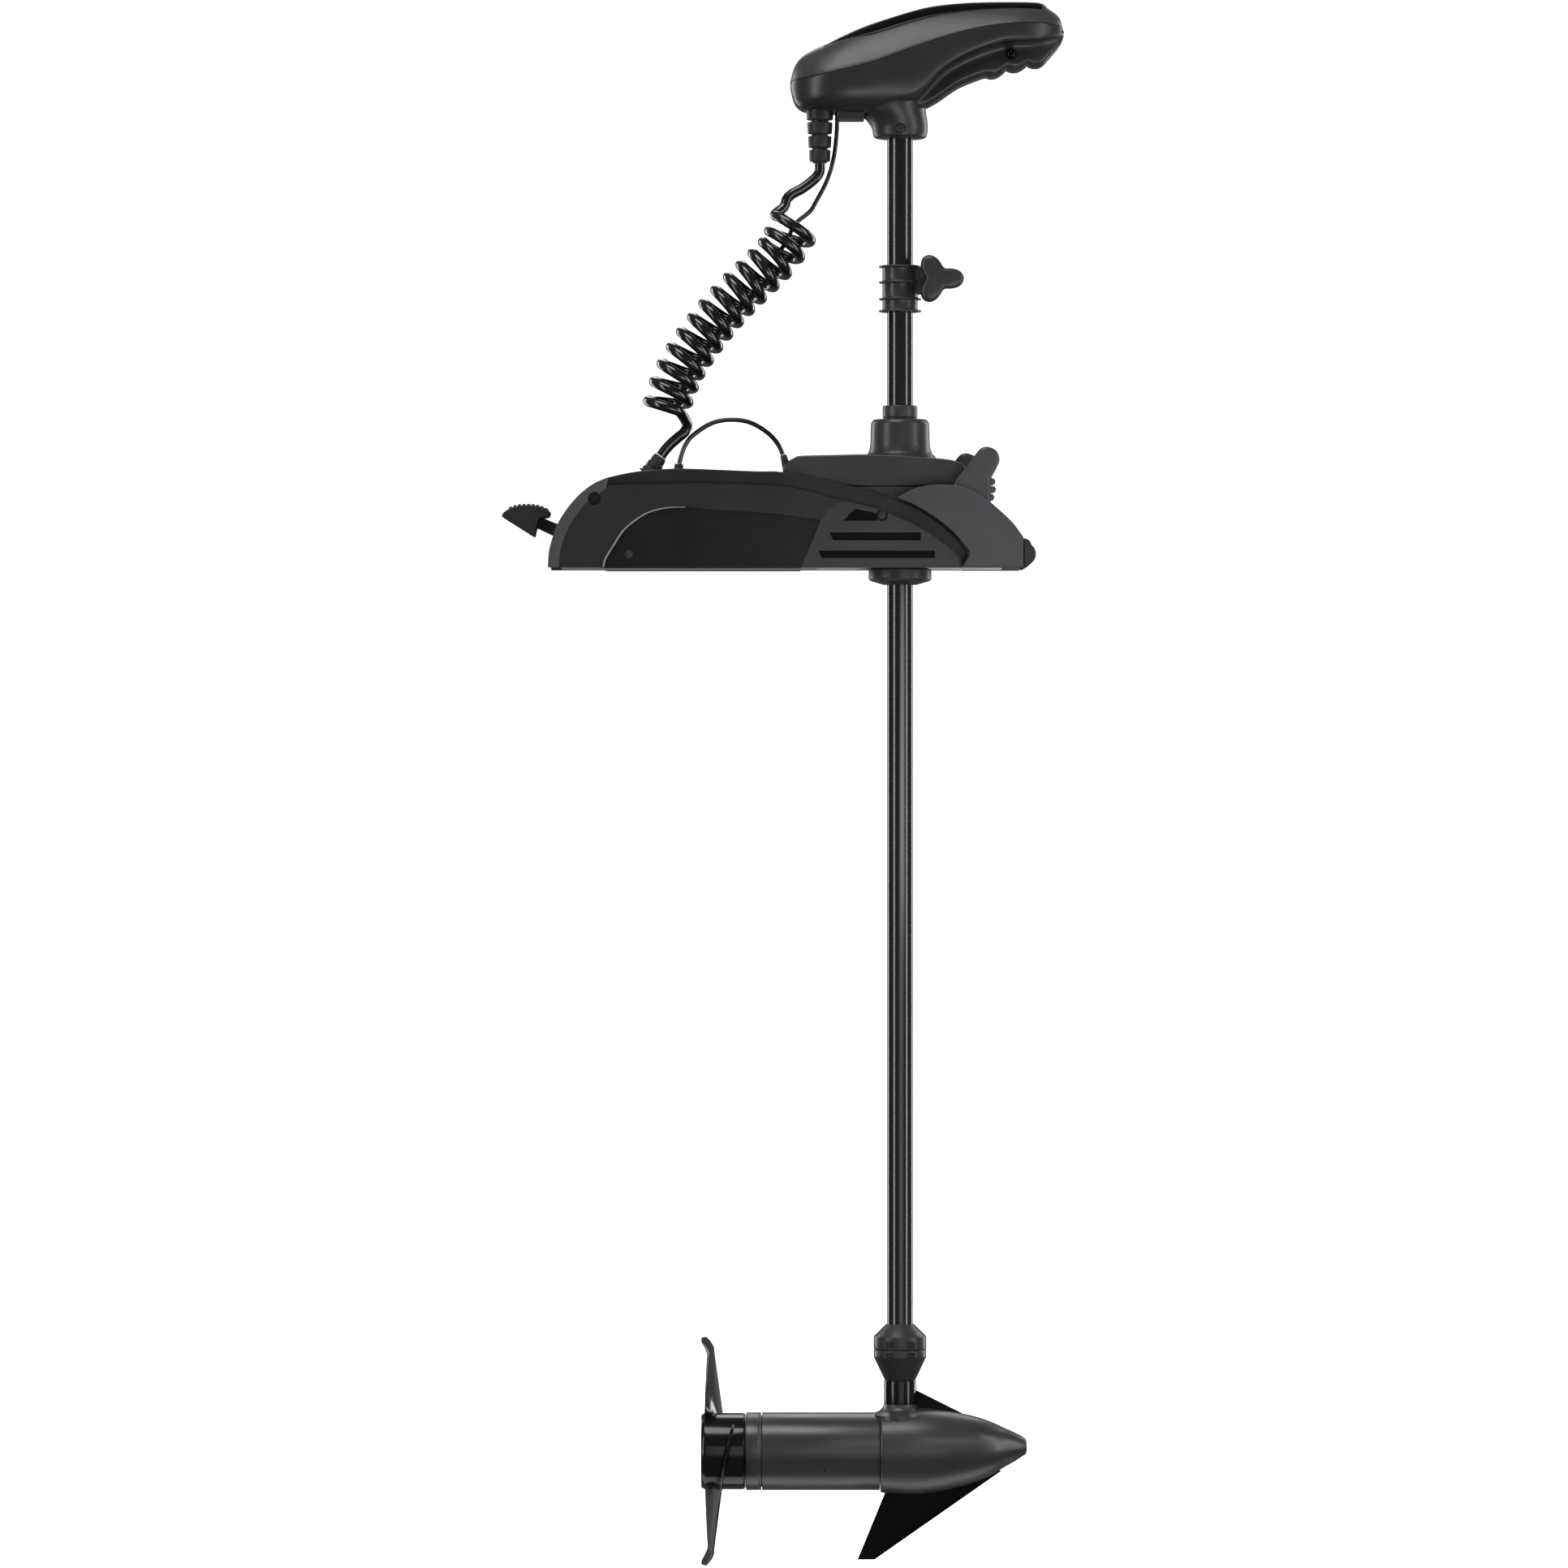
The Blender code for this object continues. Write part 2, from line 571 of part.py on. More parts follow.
def steering_drive():
    """The sleeve that turns the shaft, its gear, and the motor with its pinion."""
    foot = (SHAFT_X, 0, 0)
    sleeve = ring("steering_sleeve", SHAFT_R + GAP, SLEEVE_R, 0.0240, SLEEVE_TOP, foot, "Z", BLACK_PLASTIC)
    gear = slab("drive_gear", gear_outline((SHAFT_X, 0), GEAR_TEETH), GEAR_Z0, GEAR_Z1, BRONZE, "XY")
    cut(gear, rod("gear_bore", (SHAFT_X, 0, 0.05), (SHAFT_X, 0, 0.08), SLEEVE_R + GAP, segments=24))
    reach = (GEAR_TEETH + PINION_TEETH) * TOOTH_MODULE / 2 + 0.0006
    pinion_x = SHAFT_X - reach
    pinion_teeth = gear_outline((pinion_x, 0), PINION_TEETH, 0.5)
    pinion = slab("steering_pinion", pinion_teeth, GEAR_Z0, GEAR_Z1, STEEL, "XY")
    join(pinion, rod("pinion_stem", (pinion_x, 0, GEAR_Z0 - 0.003), (pinion_x, 0, GEAR_Z0 + 0.002), 0.0035))
    profile = [
        (0.0, 0.0586), (0.0060, 0.0586), (0.0060, 0.0560), (0.0150, 0.0560), (0.0160, 0.0550), (0.0160, 0.0320),
        (0.0140, 0.0302), (0.0, 0.0302),
    ]
    motor = turned("steering_motor", profile, (pinion_x - 0.0020, 0, 0), "Z", STEEL, 24)
    upper = ring("sleeve_bearing_upper", SLEEVE_R + GAP, BEARING_R, 0.1500, 0.1620, foot, "Z", STEEL)
    lower = ring("sleeve_bearing_lower", SLEEVE_R + GAP, BEARING_R, 0.0240, 0.0340, foot, "Z", STEEL)
    return sleeve, gear, pinion, motor, upper, lower, pinion_x


# The steering head
HEAD_TOP = [
    (0.0992, 0.5640), (0.1059, 0.5844), (0.1166, 0.5952), (0.1382, 0.6044), (0.1579, 0.6148),
    (0.1833, 0.6270), (0.2162, 0.6392), (0.2510, 0.6493), (0.2811, 0.6542), (0.3243, 0.6568),
    (0.3845, 0.6563), (0.3976, 0.6493), (0.4108, 0.6385), (0.4160, 0.6223),
]
HEAD_BOTTOM = [
    (0.0992, 0.5560), (0.1038, 0.5390), (0.1124, 0.5303), (0.1241, 0.5283), (0.1579, 0.5264),
    (0.1842, 0.5255), (0.2400, 0.5290), (0.2651, 0.5377), (0.2745, 0.5455), (0.2914, 0.5553),
    (0.3130, 0.5649), (0.3262, 0.5706), (0.3512, 0.5780), (0.3760, 0.5833), (0.3948, 0.5875),
    (0.4042, 0.5962), (0.4127, 0.6072), (0.4160, 0.6160),
]
HEAD_SEAM = [(0.0900, 0.5625), (0.1400, 0.5700), (0.1950, 0.5830), (0.2500, 0.6030), (0.3050, 0.6200),
             (0.3600, 0.6285), (0.4300, 0.6290)]
PANEL_EDGE = [(0.1382, 0.6010), (0.1800, 0.6160), (0.2162, 0.6270), (0.2811, 0.6415), (0.3450, 0.6478),
              (0.3905, 0.6468)]


def height_at(line, x):
    """Z on a polyline at X."""
    for (x0, z0), (x1, z1) in zip(line, line[1:]):
        if x <= x1:
            return z0 + (z1 - z0) * (x - x0) / (x1 - x0)
    return line[-1][1]


def head_half_width(x):
    """The head's plan outline: broad over the shaft and narrower at the nose, with round ends."""
    start, end = 0.0985, 0.4165
    along = (x - start) / (end - start)
    broad = 0.0560 - 0.0120 * along
    back = min(1.0, max(0.0, along) / 0.22)
    front = min(1.0, max(0.0, 1 - along) / 0.20)
    return broad * math.sqrt(1 - (1 - back) ** 2) * math.sqrt(1 - (1 - front) ** 2)


def head_form(name, wall, look=None):
    """The head's outer form, or the room inside it when the wall is not zero."""
    points = 16
    stations = [0.0992, 0.1030, 0.1110, 0.1240, 0.1500, 0.1842, 0.2250, 0.2651, 0.2914, 0.3300, 0.3700, 0.3948,
                0.4090, 0.4160]
    sections = []
    for x in stations:
        low, high = height_at(HEAD_BOTTOM, x), height_at(HEAD_TOP, x)
        half = max(head_half_width(x), 0.004)
        if wall and not 0.1100 <= x <= 0.3990:
            continue
        low, high, half = low + wall, high - wall, half - wall
        section = []
        for i in range(points):
            angle = 2 * math.pi * i / points
            c, s = math.cos(angle), math.sin(angle)
            y = half * math.copysign(abs(c) ** 0.62, c)
            z = (low + high) / 2 + (high - low) / 2 * math.copysign(abs(s) ** 0.62, s)
            section.append((x, y, z))
        sections.append(section)
    return loft(name, sections, look)


def region(name, lower, upper):
    """A cutter that keeps what lies between two side lines."""
    return slab(name, [*lower, *upper[::-1]], -0.08, 0.08)


def steering_head():
    seam_up = [(x, z + GAP / 2) for x, z in HEAD_SEAM]
    seam_down = [(x, z - GAP / 2) for x, z in HEAD_SEAM]
    floor = [(0.0900, 0.4500), (0.4300, 0.4500)]
    sky = [(0.0900, 0.7000), (0.4300, 0.7000)]
    lower = head_form("head_lower_housing", 0.0, DARK_PLASTIC)
    boss_profile = [
        (0.0, 0.5500), (0.0380, 0.5500), (0.0400, 0.5290), (0.0345, 0.5200), (0.0318, 0.5100), (0.0312, 0.5035),
        (0.0240, 0.4980), (0.0, 0.4980),
    ]
    combine(lower, region("head_low_region", floor, seam_down), "INTERSECT")
    join(lower, turned("head_boss", boss_profile, (SHAFT_X, 0, 0), "Z"))
    cut(lower, head_form("head_room", 0.0032))
    cut(lower, rod("head_bore", (SHAFT_X, 0, 0.48), (SHAFT_X, 0, 0.56), SHAFT_R + GAP, segments=24))
    cut(lower, rod("relief_seat", (RELIEF_X, RELIEF_Y, 0.5), (RELIEF_X, RELIEF_Y, 0.5345), 0.0135, segments=20),
        rod("sonar_hole", (0.1535, RELIEF_Y, 0.5), (0.1535, RELIEF_Y, 0.54), 0.0024, segments=12),
        rod("clamp_screw_hole", (SHAFT_X, -0.045, SCREW_Z), (SHAFT_X, 0.045, SCREW_Z), 0.0029, segments=12),
        rod("screw_head_seat", (SHAFT_X, -0.045, SCREW_Z), (SHAFT_X, -0.0285, SCREW_Z), 0.0058, segments=12),
        solver="MANIFOLD")
    edge_up = [(x, z + GAP / 2) for x, z in PANEL_EDGE]
    edge_down = [(x, z - GAP / 2) for x, z in PANEL_EDGE]
    panel_low = [(PANEL_X0, 0.7000), *edge_up, (PANEL_X1, 0.7000)]
    upper = head_form("head_upper_cover", 0.0, DARK_PLASTIC)
    combine(upper, region("head_up_region", seam_up, sky), "INTERSECT")
    cut(upper, head_form("cover_head_room", 0.0032))
    seat = [(PANEL_X0 - GAP, 0.7000), *edge_down, (PANEL_X1 + GAP, 0.7000)]
    cut(upper, slab("panel_seat", seat, -0.08, 0.08))
    panel = head_form("head_top_panel", 0.0, GLOSS_BLACK)
    combine(panel, slab("panel_region", panel_low, -0.08, 0.08), "INTERSECT")
    board = block("head_circuit_board", (0.1450, -0.0300, 0.5800), (0.2750, 0.0300, 0.5816), BOARD_GREEN)
    screw = rod("head_clamp_screw", (SHAFT_X, -0.0300, SCREW_Z), (SHAFT_X, 0.0290, SCREW_Z), 0.0025, STEEL, 12)
    head = rod("clamp_screw_head", (SHAFT_X, -0.0318, SCREW_Z), (SHAFT_X, -0.0290, SCREW_Z), 0.0050, segments=12)
    join(screw, head)
    return lower, upper, panel, board, screw


def strain_relief():
    """A flexible boot of spaced rings under the head, with the cord through it."""
    top, bottom, rings = 0.5340, 0.4680, 5
    outer = [(0.0130, top), (0.0130, 0.5260), (0.0155, 0.5255)]
    for i in range(rings):
        share = i / (rings - 1)
        high = 0.5230 - i * 0.0110
        radius = 0.0155 - 0.0033 * share
        neck = radius - 0.0045
        outer += [(radius, high), (radius, high - 0.0065), (neck, high - 0.0070), (neck, high - 0.0105)]
    outer[-1] = (outer[-1][0], bottom)
    inner_r = CORD_R + GAP
    return turned("strain_relief", [*outer, (inner_r, bottom), (inner_r, top)], (RELIEF_X, RELIEF_Y, 0), "Z",
                  BLACK_RUBBER, 14, closed=True)


# Shaft, collar and submerged motor
def shaft():
    bottom = SHAFT_TOP - SHAFT_LENGTH
    tube_piece = ring("shaft_tube", SHAFT_BORE_R, SHAFT_R, bottom, SHAFT_TOP, (SHAFT_X, 0, 0), "Z", GLOSS_BLACK)
    near, far = (SHAFT_X, -0.03, SCREW_Z), (SHAFT_X, 0.03, SCREW_Z)
    screw_hole = rod("shaft_screw_hole", near, far, 0.0028, segments=12)
    cut(tube_piece, screw_hole)
    wires = rod("motor_lead_wires", (SHAFT_X, 0, bottom + 0.004), (SHAFT_X, 0, 0.5000), 0.0050, COPPER, 12)
    return tube_piece, wires


def depth_collar():
    """A ribbed split collar with clamp ears."""
    outer = []
    for i in range(4):
        z = COLLAR_Z1 - 0.0015 - i * 0.0173
        outer += [(0.0205, z + 0.0012), (0.0245, z + 0.0008), (0.0245, z - 0.0008), (0.0205, z - 0.0012)]
    outer[0] = (0.0205, COLLAR_Z1)
    outer[-1] = (0.0205, COLLAR_Z0)
    inner_r = SHAFT_R + GAP
    profile = [*outer, (inner_r, COLLAR_Z0), (inner_r, COLLAR_Z1)]
    collar = turned("depth_collar", profile, (SHAFT_X, 0, 0), "Z", DARK_PLASTIC, 24, closed=True)
    ear_outline = [(0.2430, 0.3180), (0.2430, 0.3490), (0.2760, 0.3450), (0.2820, 0.3346), (0.2760, 0.3240)]
    ear = slab("collar_ear", ear_outline, -0.0125, 0.0125)
    join(collar, ear)
    cut(collar, block("collar_slit", (0.2380, -0.0010, 0.2900), (0.2900, 0.0010, 0.3600)))
    cut(collar, rod("ear_bore", (KNOB_X, -0.03, KNOB_Z), (KNOB_X, 0.03, KNOB_Z), 0.0033, segments=12))
    return collar


def depth_knob():
    """Three round lobes on a threaded stem."""
    outline = []
    steps = 36
    for i in range(steps):
        angle = 2 * math.pi * i / steps
        reach = 0.0222 + 0.0078 * math.cos(3 * angle)
        outline.append((KNOB_X + reach * math.cos(angle), KNOB_Z + reach * math.sin(angle)))
    knob = slab("depth_knob", outline, -0.0350, -0.0213, DARK_PLASTIC)
    join(knob, rod("knob_neck", (KNOB_X, -0.0216, KNOB_Z), (KNOB_X, -0.0132, KNOB_Z), 0.0100))
    join(knob, rod("knob_stem", (KNOB_X, -0.0210, KNOB_Z), (KNOB_X, 0.0180, KNOB_Z), 0.0030, segments=12))
    return knob


def shaft_clamps():
    """The two halves of the eight-sided bulb where the shaft meets the submerged motor."""
    bore = SHAFT_R + GAP
    upper_profile = [(0.0160, -0.8752), (0.0305, -0.8890), (0.0305, -0.9035), (bore, -0.9035), (bore, -0.8752)]
    lower_profile = [(0.0305, -0.9038), (0.0305, -0.9125), (0.0185, -0.9393), (bore, -0.9393), (bore, -0.9038)]
    upper = turned("shaft_clamp_upper", upper_profile, (SHAFT_X, 0, 0), "Z", BLACK_PLASTIC, 24, closed=True)
    lower = turned("shaft_clamp_lower", lower_profile, (SHAFT_X, 0, 0), "Z", BLACK_PLASTIC, 24, closed=True)
    return upper, lower


NOSE_STATIONS = [
    (0.2036, 0.0468, 0.0), (0.2100, 0.0482, 0.0), (0.2468, 0.0498, 0.0005), (0.2736, 0.0472, 0.0010),
    (0.2996, 0.0418, 0.0018), (0.3181, 0.0366, 0.0025), (0.3340, 0.0301, 0.0033), (0.3470, 0.0231, 0.0042),
    (0.3600, 0.0150, 0.0050), (0.3690, 0.0088, 0.0055), (0.3735, 0.0030, 0.0055),
]


def nose_rings(wall):
    points = 24
    sections = []
    for x, radius, rise in NOSE_STATIONS:
        if wall and x > 0.335:
            continue
        reach = radius - wall
        start = x - 0.01 if wall and x < 0.2050 else x
        angles = [2 * math.pi * i / points for i in range(points)]
        sections.append([(start, reach * math.cos(a), UNIT_Z + rise + reach * math.sin(a)) for a in angles])
    return sections


def nose_housing():
    """The motor's nose with the shaft socket, the top fin and the skeg cast in one piece."""
    nose = loft("motor_nose_housing", nose_rings(0), DARK_PLASTIC)
    socket = rod("nose_socket", (SHAFT_X, 0, -0.9396), (SHAFT_X, 0, -1.0000), 0.0180, segments=28)
    join(nose, socket)
    top_fin = [(0.2430, -0.9500), (0.3110, -0.9840), (0.2900, -0.9930), (0.2400, -0.9930)]
    join(nose, slab("top_fin", top_fin, -0.0022, 0.0022))
    skeg = [(0.2130, -1.0600), (0.1772, -1.1474), (0.1970, -1.1474), (0.3400, -1.0500), (0.3000, -1.0400)]
    join(nose, slab("skeg_fin", skeg, -0.0030, 0.0030))
    cut(nose, loft("nose_room", nose_rings(UNIT_WALL)))
    cut(nose, rod("socket_bore", (SHAFT_X, 0, -0.93), (SHAFT_X, 0, -0.9950), SHAFT_R + GAP, segments=24))
    return nose


def motor_body():
    origin = (0, 0, UNIT_Z)
    ends = (BELL_X1 + GAP, CENTRE_X1 - GAP)
    centre = ring("motor_centre_housing", UNIT_R - UNIT_WALL, UNIT_R, *ends, origin, "X", DARK_PLASTIC)
    bell_profile = [
        (UNIT_R, BELL_X1), (UNIT_R, HUB_X1 + 0.0012), (0.0240, HUB_X1 + 0.0012), (0.0060, HUB_X1 + 0.0040),
        (0.0060, 0.0560), (0.0120, 0.0560), (0.0120, 0.0600), (0.0380, 0.0600), (0.0380, BELL_X1),
    ]
    bell = turned("motor_end_bell", bell_profile, origin, "X", DARK_PLASTIC, closed=True)
    magnets = []
    for label, start in (("near", 205), ("far", 25)):
        outline = arc((0, UNIT_Z), UNIT_R - UNIT_WALL - 0.0009, start, start + 130, 12)
        outline += arc((0, UNIT_Z), UNIT_R - UNIT_WALL - 0.0070, start + 130, start, 12)
        side = -1 if label == "near" else 1
        outline = [(side * abs(z - UNIT_Z), UNIT_Z + y) for y, z in outline]
        magnets.append(slab(f"magnet_{label}", outline, 0.0900, 0.1700, MAGNET, "YZ"))
    front = ring("bearing_front", 0.0050 + GAP, 0.0110, 0.2040, 0.2110, origin, "X", BRONZE, 20)
    brush_plate = ring("brush_plate", 0.0110 + GAP, 0.0430, 0.2050, 0.2085, origin, "X", BLACK_PLASTIC, 24)
    rear = ring("bearing_rear", 0.0050 + GAP, 0.0120 - GAP, 0.0562, 0.0598, origin, "X", BRONZE, 20)
    return centre, bell, magnets, front, rear, brush_plate


def rotor():
    """Armature, commutator and propeller shaft."""
    origin = (0, 0, UNIT_Z)
    armature_profile = [
        (0.0053, 0.1950), (0.0140, 0.1950), (0.0140, 0.1780), (0.0220, 0.1760), (0.0300, 0.1650), (0.0335, 0.1640),
        (0.0335, 0.0960), (0.0300, 0.0950), (0.0220, 0.0840), (0.0053, 0.0820),
    ]
    armature = turned("armature", armature_profile, origin, "X", COPPER, 18, closed=True)
    prop_shaft = rod("propeller_shaft", (0.0040, 0, UNIT_Z), (0.2150, 0, UNIT_Z), 0.0050, STEEL, 20)
    cut(prop_shaft, rod("pin_bore", (0.0380, 0, UNIT_Z - 0.02), (0.0380, 0, UNIT_Z + 0.02), 0.0023, segments=10))
    drive_pin = rod("drive_pin", (0.0380, 0, UNIT_Z - 0.0150), (0.0380, 0, UNIT_Z + 0.0150), 0.0020, STEEL, 10)
    return armature, prop_shaft, drive_pin


def blade_sections(phase):
    """A swept weedless blade: its root wraps the hub and its tip hooks back."""
    sections = []
    for v in (0.0, 0.12, 0.28, 0.50, 0.72, 0.86, 0.94, 1.0):
        radius = HUB_R - 0.0015 + (PROP_R - HUB_R + 0.0015) * v
        lead = 118 * (1 - v) ** 2.2 + 20 * (1 - v) + 5
        trail = -24 * (1 - v) ** 0.6 - 6
        rake = -0.0030 * v - 0.0085 * (max(0.0, v - 0.84) / 0.16) ** 1.6
        chord = (0, 0.2, 0.5, 0.8, 1)
        front, back = [], []
        for u in chord:
            angle = trail + (lead - trail) * u
            thick = 0.0016 * (1 - 0.5 * v) * math.sin(math.pi * min(max(u, 0.06), 0.94)) + 0.0004
            pitch = 0.00016 if angle > 0 else 0.00038
            x = 0.0115 + pitch * angle + rake
            turn = math.radians(phase + angle)
            y, z = radius * math.sin(turn), UNIT_Z + radius * math.cos(turn)
            front.append((x + thick, y, z))
            back.append((x - thick, y, z))
        sections.append(front + back[::-1])
    return sections


def propeller():
    """An open-backed hub with two blades and an inner boss on the shaft."""
    origin = (0, 0, UNIT_Z)
    profile = [
        (HUB_R, HUB_X1), (HUB_R, 0.0), (HUB_R - 0.0025, HUB_X0), (HUB_R - 0.0055, HUB_X0),
        (HUB_R - 0.0055, 0.0300), (0.0130, 0.0300), (0.0130, 0.0180), (0.0053, 0.0180), (0.0053, HUB_X1),
    ]
    hub = turned("propeller", profile, origin, "X", GLOSS_BLACK, 28, closed=True)
    for number, phase in enumerate((0, 180)):
        join(hub, loft(f"blade_{number}", blade_sections(phase)))
    cut(hub, block("pin_slot", (0.0355, -0.0023, UNIT_Z - 0.0155), (0.0600, 0.0023, UNIT_Z + 0.0155)))
    nut = slab("propeller_nut", arc((0, UNIT_Z), 0.0095, 0, 300, 5), 0.0090, 0.0177, STEEL, "YZ")
    cut(nut, rod("nut_bore", (0.0, 0, UNIT_Z), (0.02, 0, UNIT_Z), 0.0050 + GAP, segments=20))
    return hub, nut


# Cords. The power cord leaves the strain relief, coils down to the rear gland, and the thin sonar
# cable runs down beside it; the loop cable joins the mount to the steering housing.
COIL_AXIS = [
    (0.1045, -0.0140, 0.3980), (0.0890, -0.0160, 0.3680), (0.0650, -0.0185, 0.3420),
    (0.0355, -0.0210, 0.3130), (0.0100, -0.0235, 0.2840), (-0.0110, -0.0255, 0.2560),
    (-0.0285, -0.0275, 0.2270), (-0.0400, -0.0290, 0.1980), (-0.0442, -0.0300, 0.1790),
]
LEAD_ROUTE = [
    (RELIEF_X, RELIEF_Y, 0.4656), (RELIEF_X, RELIEF_Y, 0.4605), (0.1305, -0.0122, 0.4540),
    (0.1225, -0.0128, 0.4465), (0.1120, -0.0134, 0.4390), (0.1010, -0.0138, 0.4330),
    (0.0960, -0.0140, 0.4260),
]
RISER_ROUTE = [(RELIEF_X, RELIEF_Y, 0.5400), (RELIEF_X, RELIEF_Y, 0.5000), (RELIEF_X, RELIEF_Y, 0.4663)]
TAIL_ROUTE = [
    (-0.0200, -0.0300, 0.1640), (-0.0230, -0.0300, 0.1570), (-0.0300, -0.0300, 0.1510),
    (-0.0388, -0.0300, 0.1433), (-0.0453, -0.0300, 0.1361), (-0.0501, -0.0300, 0.1296),
]
SONAR_ROUTE = [
    (0.1535, -0.0120, 0.5400), (0.1535, -0.0120, 0.5200), (0.1530, -0.0120, 0.5030),
    (0.1497, -0.0120, 0.4756), (0.1420, -0.0125, 0.4493), (0.1290, -0.0132, 0.4240),
    (0.1220, -0.0136, 0.4130),
]
LOOP_ROUTE = [
    (-0.0290, -0.0300, 0.1205), (-0.0262, -0.0302, 0.1310), (-0.0218, -0.0304, 0.1420),
    (-0.0132, -0.0306, 0.1532), (0.0085, -0.0308, 0.1673), (0.0301, -0.0310, 0.1714),
    (0.0526, -0.0308, 0.1683), (0.0724, -0.0305, 0.1570), (0.0846, -0.0302, 0.1440),
    (0.0908, -0.0300, 0.1312),
]


def cords():
    coil = tube("coil_cord_coil", smooth_curve(COIL_AXIS, 2), COIL_R, BLACK_RUBBER, 2)
    lead = tube("coil_cord_lead", smooth_curve(LEAD_ROUTE, 2), CORD_R, BLACK_RUBBER, 2)
    riser = tube("coil_cord_riser", smooth_curve(RISER_ROUTE, 2), CORD_R, BLACK_RUBBER, 2)
    tail = tube("coil_cord_tail", smooth_curve(TAIL_ROUTE, 2), CORD_R, BLACK_RUBBER, 2)
    sonar = tube("sonar_cable", smooth_curve(SONAR_ROUTE, 2), SONAR_R, BLACK_RUBBER, 2)
    loop = tube("loop_cable", smooth_curve(LOOP_ROUTE, 3), LOOP_R, BLACK_RUBBER, 2)
    return coil, lead, riser, tail, sonar, loop


def main():
    global parts, cutters
    for obj in list(bpy.data.objects):
        bpy.data.objects.remove(obj)
    parts = make_collection("trolling_motor")
    cutters = make_collection("cutters")

    tilt = pivot_empty("tilt_axis", (PIVOT_X, 0, PIVOT_Z))
    steer = pivot_empty("steer_axis", (SHAFT_X, 0, 0))
    depth = pivot_empty("depth_axis", (SHAFT_X, 0, SHAFT_TOP))
    collar_axis = pivot_empty("collar_axis", (SHAFT_X, 0, COLLAR_Z0))
    knob_axis = pivot_empty("knob_axis", (KNOB_X, 0, KNOB_Z))
    spin = pivot_empty("propeller_axis", (0, 0, UNIT_Z))
    lever_axis = pivot_empty("lever_axis", (LEVER_X, 0, LEVER_Z))
    latch_axis = pivot_empty("latch_axis", (0, 0, LATCH_Z))

    base_extrusion()
    both_sides(side_frame)
    both_sides(side_plate)
    both_sides(motor_ramp)
    both_sides(bow_bumper)
    rear_cover()
    gland("coil_cord_gland", *COIL_GLAND, look=BLACK_RUBBER)
    gland("loop_cable_gland", *LOOP_GLAND, look=BLACK_RUBBER)
    rod("tilt_pivot_pin", (PIVOT_X, -FRAME_OUT, PIVOT_Z), (PIVOT_X, FRAME_OUT, PIVOT_Z), PIVOT_PIN_R, STEEL, 20)
    rod("rear_tie_rod", (TIE_X, -FRAME_OUT, TIE_Z), (TIE_X, FRAME_OUT, TIE_Z), 0.0040, STEEL)
    rod("lever_pivot_pin", (LEVER_X, -FRAME_OUT, LEVER_Z), (LEVER_X, FRAME_OUT, LEVER_Z), 0.0040, STEEL)

    arm, pad = release_lever()
    attach(lever_axis, arm, pad)
    attach(latch_axis, latch())

    tub, cover = steering_housing()
    low_collar = lower_bearing_collar()
    sleeve, gear, pinion, motor, upper_bearing, lower_bearing, pinion_x = steering_drive()
    boot_top, boot_foot = (0.0912, -0.0300, 0.1308), (0.0950, -0.0300, 0.1165)
    boot = rod("loop_cable_boot", boot_top, boot_foot, 0.0036, BLACK_RUBBER, 12, 0.0050)
    boot_seat = rod("boot_seat", (0.0906, -0.0300, 0.1330), (0.0956, -0.0300, 0.1140), 0.0054, segments=12)
    cut(cover, boot_seat, solver="MANIFOLD")
    attach(tilt, tub, cover, low_collar, motor, upper_bearing, lower_bearing, boot)
    pinion_axis = pivot_empty("pinion_axis", (pinion_x, 0, GEAR_Z0))
    attach(pinion_axis, pinion)
    attach(steer, sleeve, gear)

    centre, bell, magnets, front, rear, brush_plate = motor_body()
    attach(depth, *shaft(), *steering_head(), strain_relief(), *shaft_clamps(), nose_housing())
    attach(depth, centre, bell, *magnets, front, rear, brush_plate)
    attach(spin, *rotor(), *propeller())
    attach(collar_axis, depth_collar())
    attach(knob_axis, depth_knob())
    cords()


main()
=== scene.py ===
"""Looks of the bow-mount trolling motor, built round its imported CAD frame.

Metres, +Z up, the deck at Z = 0 and the bow towards +X. The near side is -Y.
"""

import math

import bmesh
import bpy
import numpy as np
from mathutils import Matrix, Vector


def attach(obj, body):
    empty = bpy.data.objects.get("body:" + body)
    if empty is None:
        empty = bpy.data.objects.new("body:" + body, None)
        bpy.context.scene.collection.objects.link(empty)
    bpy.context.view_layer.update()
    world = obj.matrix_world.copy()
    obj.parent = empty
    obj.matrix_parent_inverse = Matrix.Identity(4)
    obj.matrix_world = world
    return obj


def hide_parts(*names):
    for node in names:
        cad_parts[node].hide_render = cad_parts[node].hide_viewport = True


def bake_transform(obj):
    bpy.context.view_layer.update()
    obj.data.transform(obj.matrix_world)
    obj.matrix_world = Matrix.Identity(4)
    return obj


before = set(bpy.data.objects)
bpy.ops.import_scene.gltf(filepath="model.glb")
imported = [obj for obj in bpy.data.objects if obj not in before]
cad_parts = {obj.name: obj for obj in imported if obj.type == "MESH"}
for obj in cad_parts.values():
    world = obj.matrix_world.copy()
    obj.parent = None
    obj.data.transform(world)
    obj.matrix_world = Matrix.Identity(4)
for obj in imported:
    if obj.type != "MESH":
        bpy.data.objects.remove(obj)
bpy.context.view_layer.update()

# Driving dimensions, the same as the frame's, but the power cord is thicker than its plain CAD solid
SHAFT_X = 0.2265
SHAFT_R = 0.015
SHAFT_AXIS = (SHAFT_X, 0, 0)
SHAFT_TOP, SHAFT_BOTTOM = 0.53, -0.994
FRAME_IN, FRAME_OUT = 0.0503, 0.06
PLATE_IN, PLATE_OUT = 0.0603, 0.069
RAMP_IN, RAMP_OUT = 0.0503, 0.084
HOUSING_HALF = 0.0475
SEAM_Z = 0.0935
TOWER_R, TOWER_TOP = 0.0345, 0.173
SLEEVE_TOP = 0.189
UNIT_Z = -1.0218
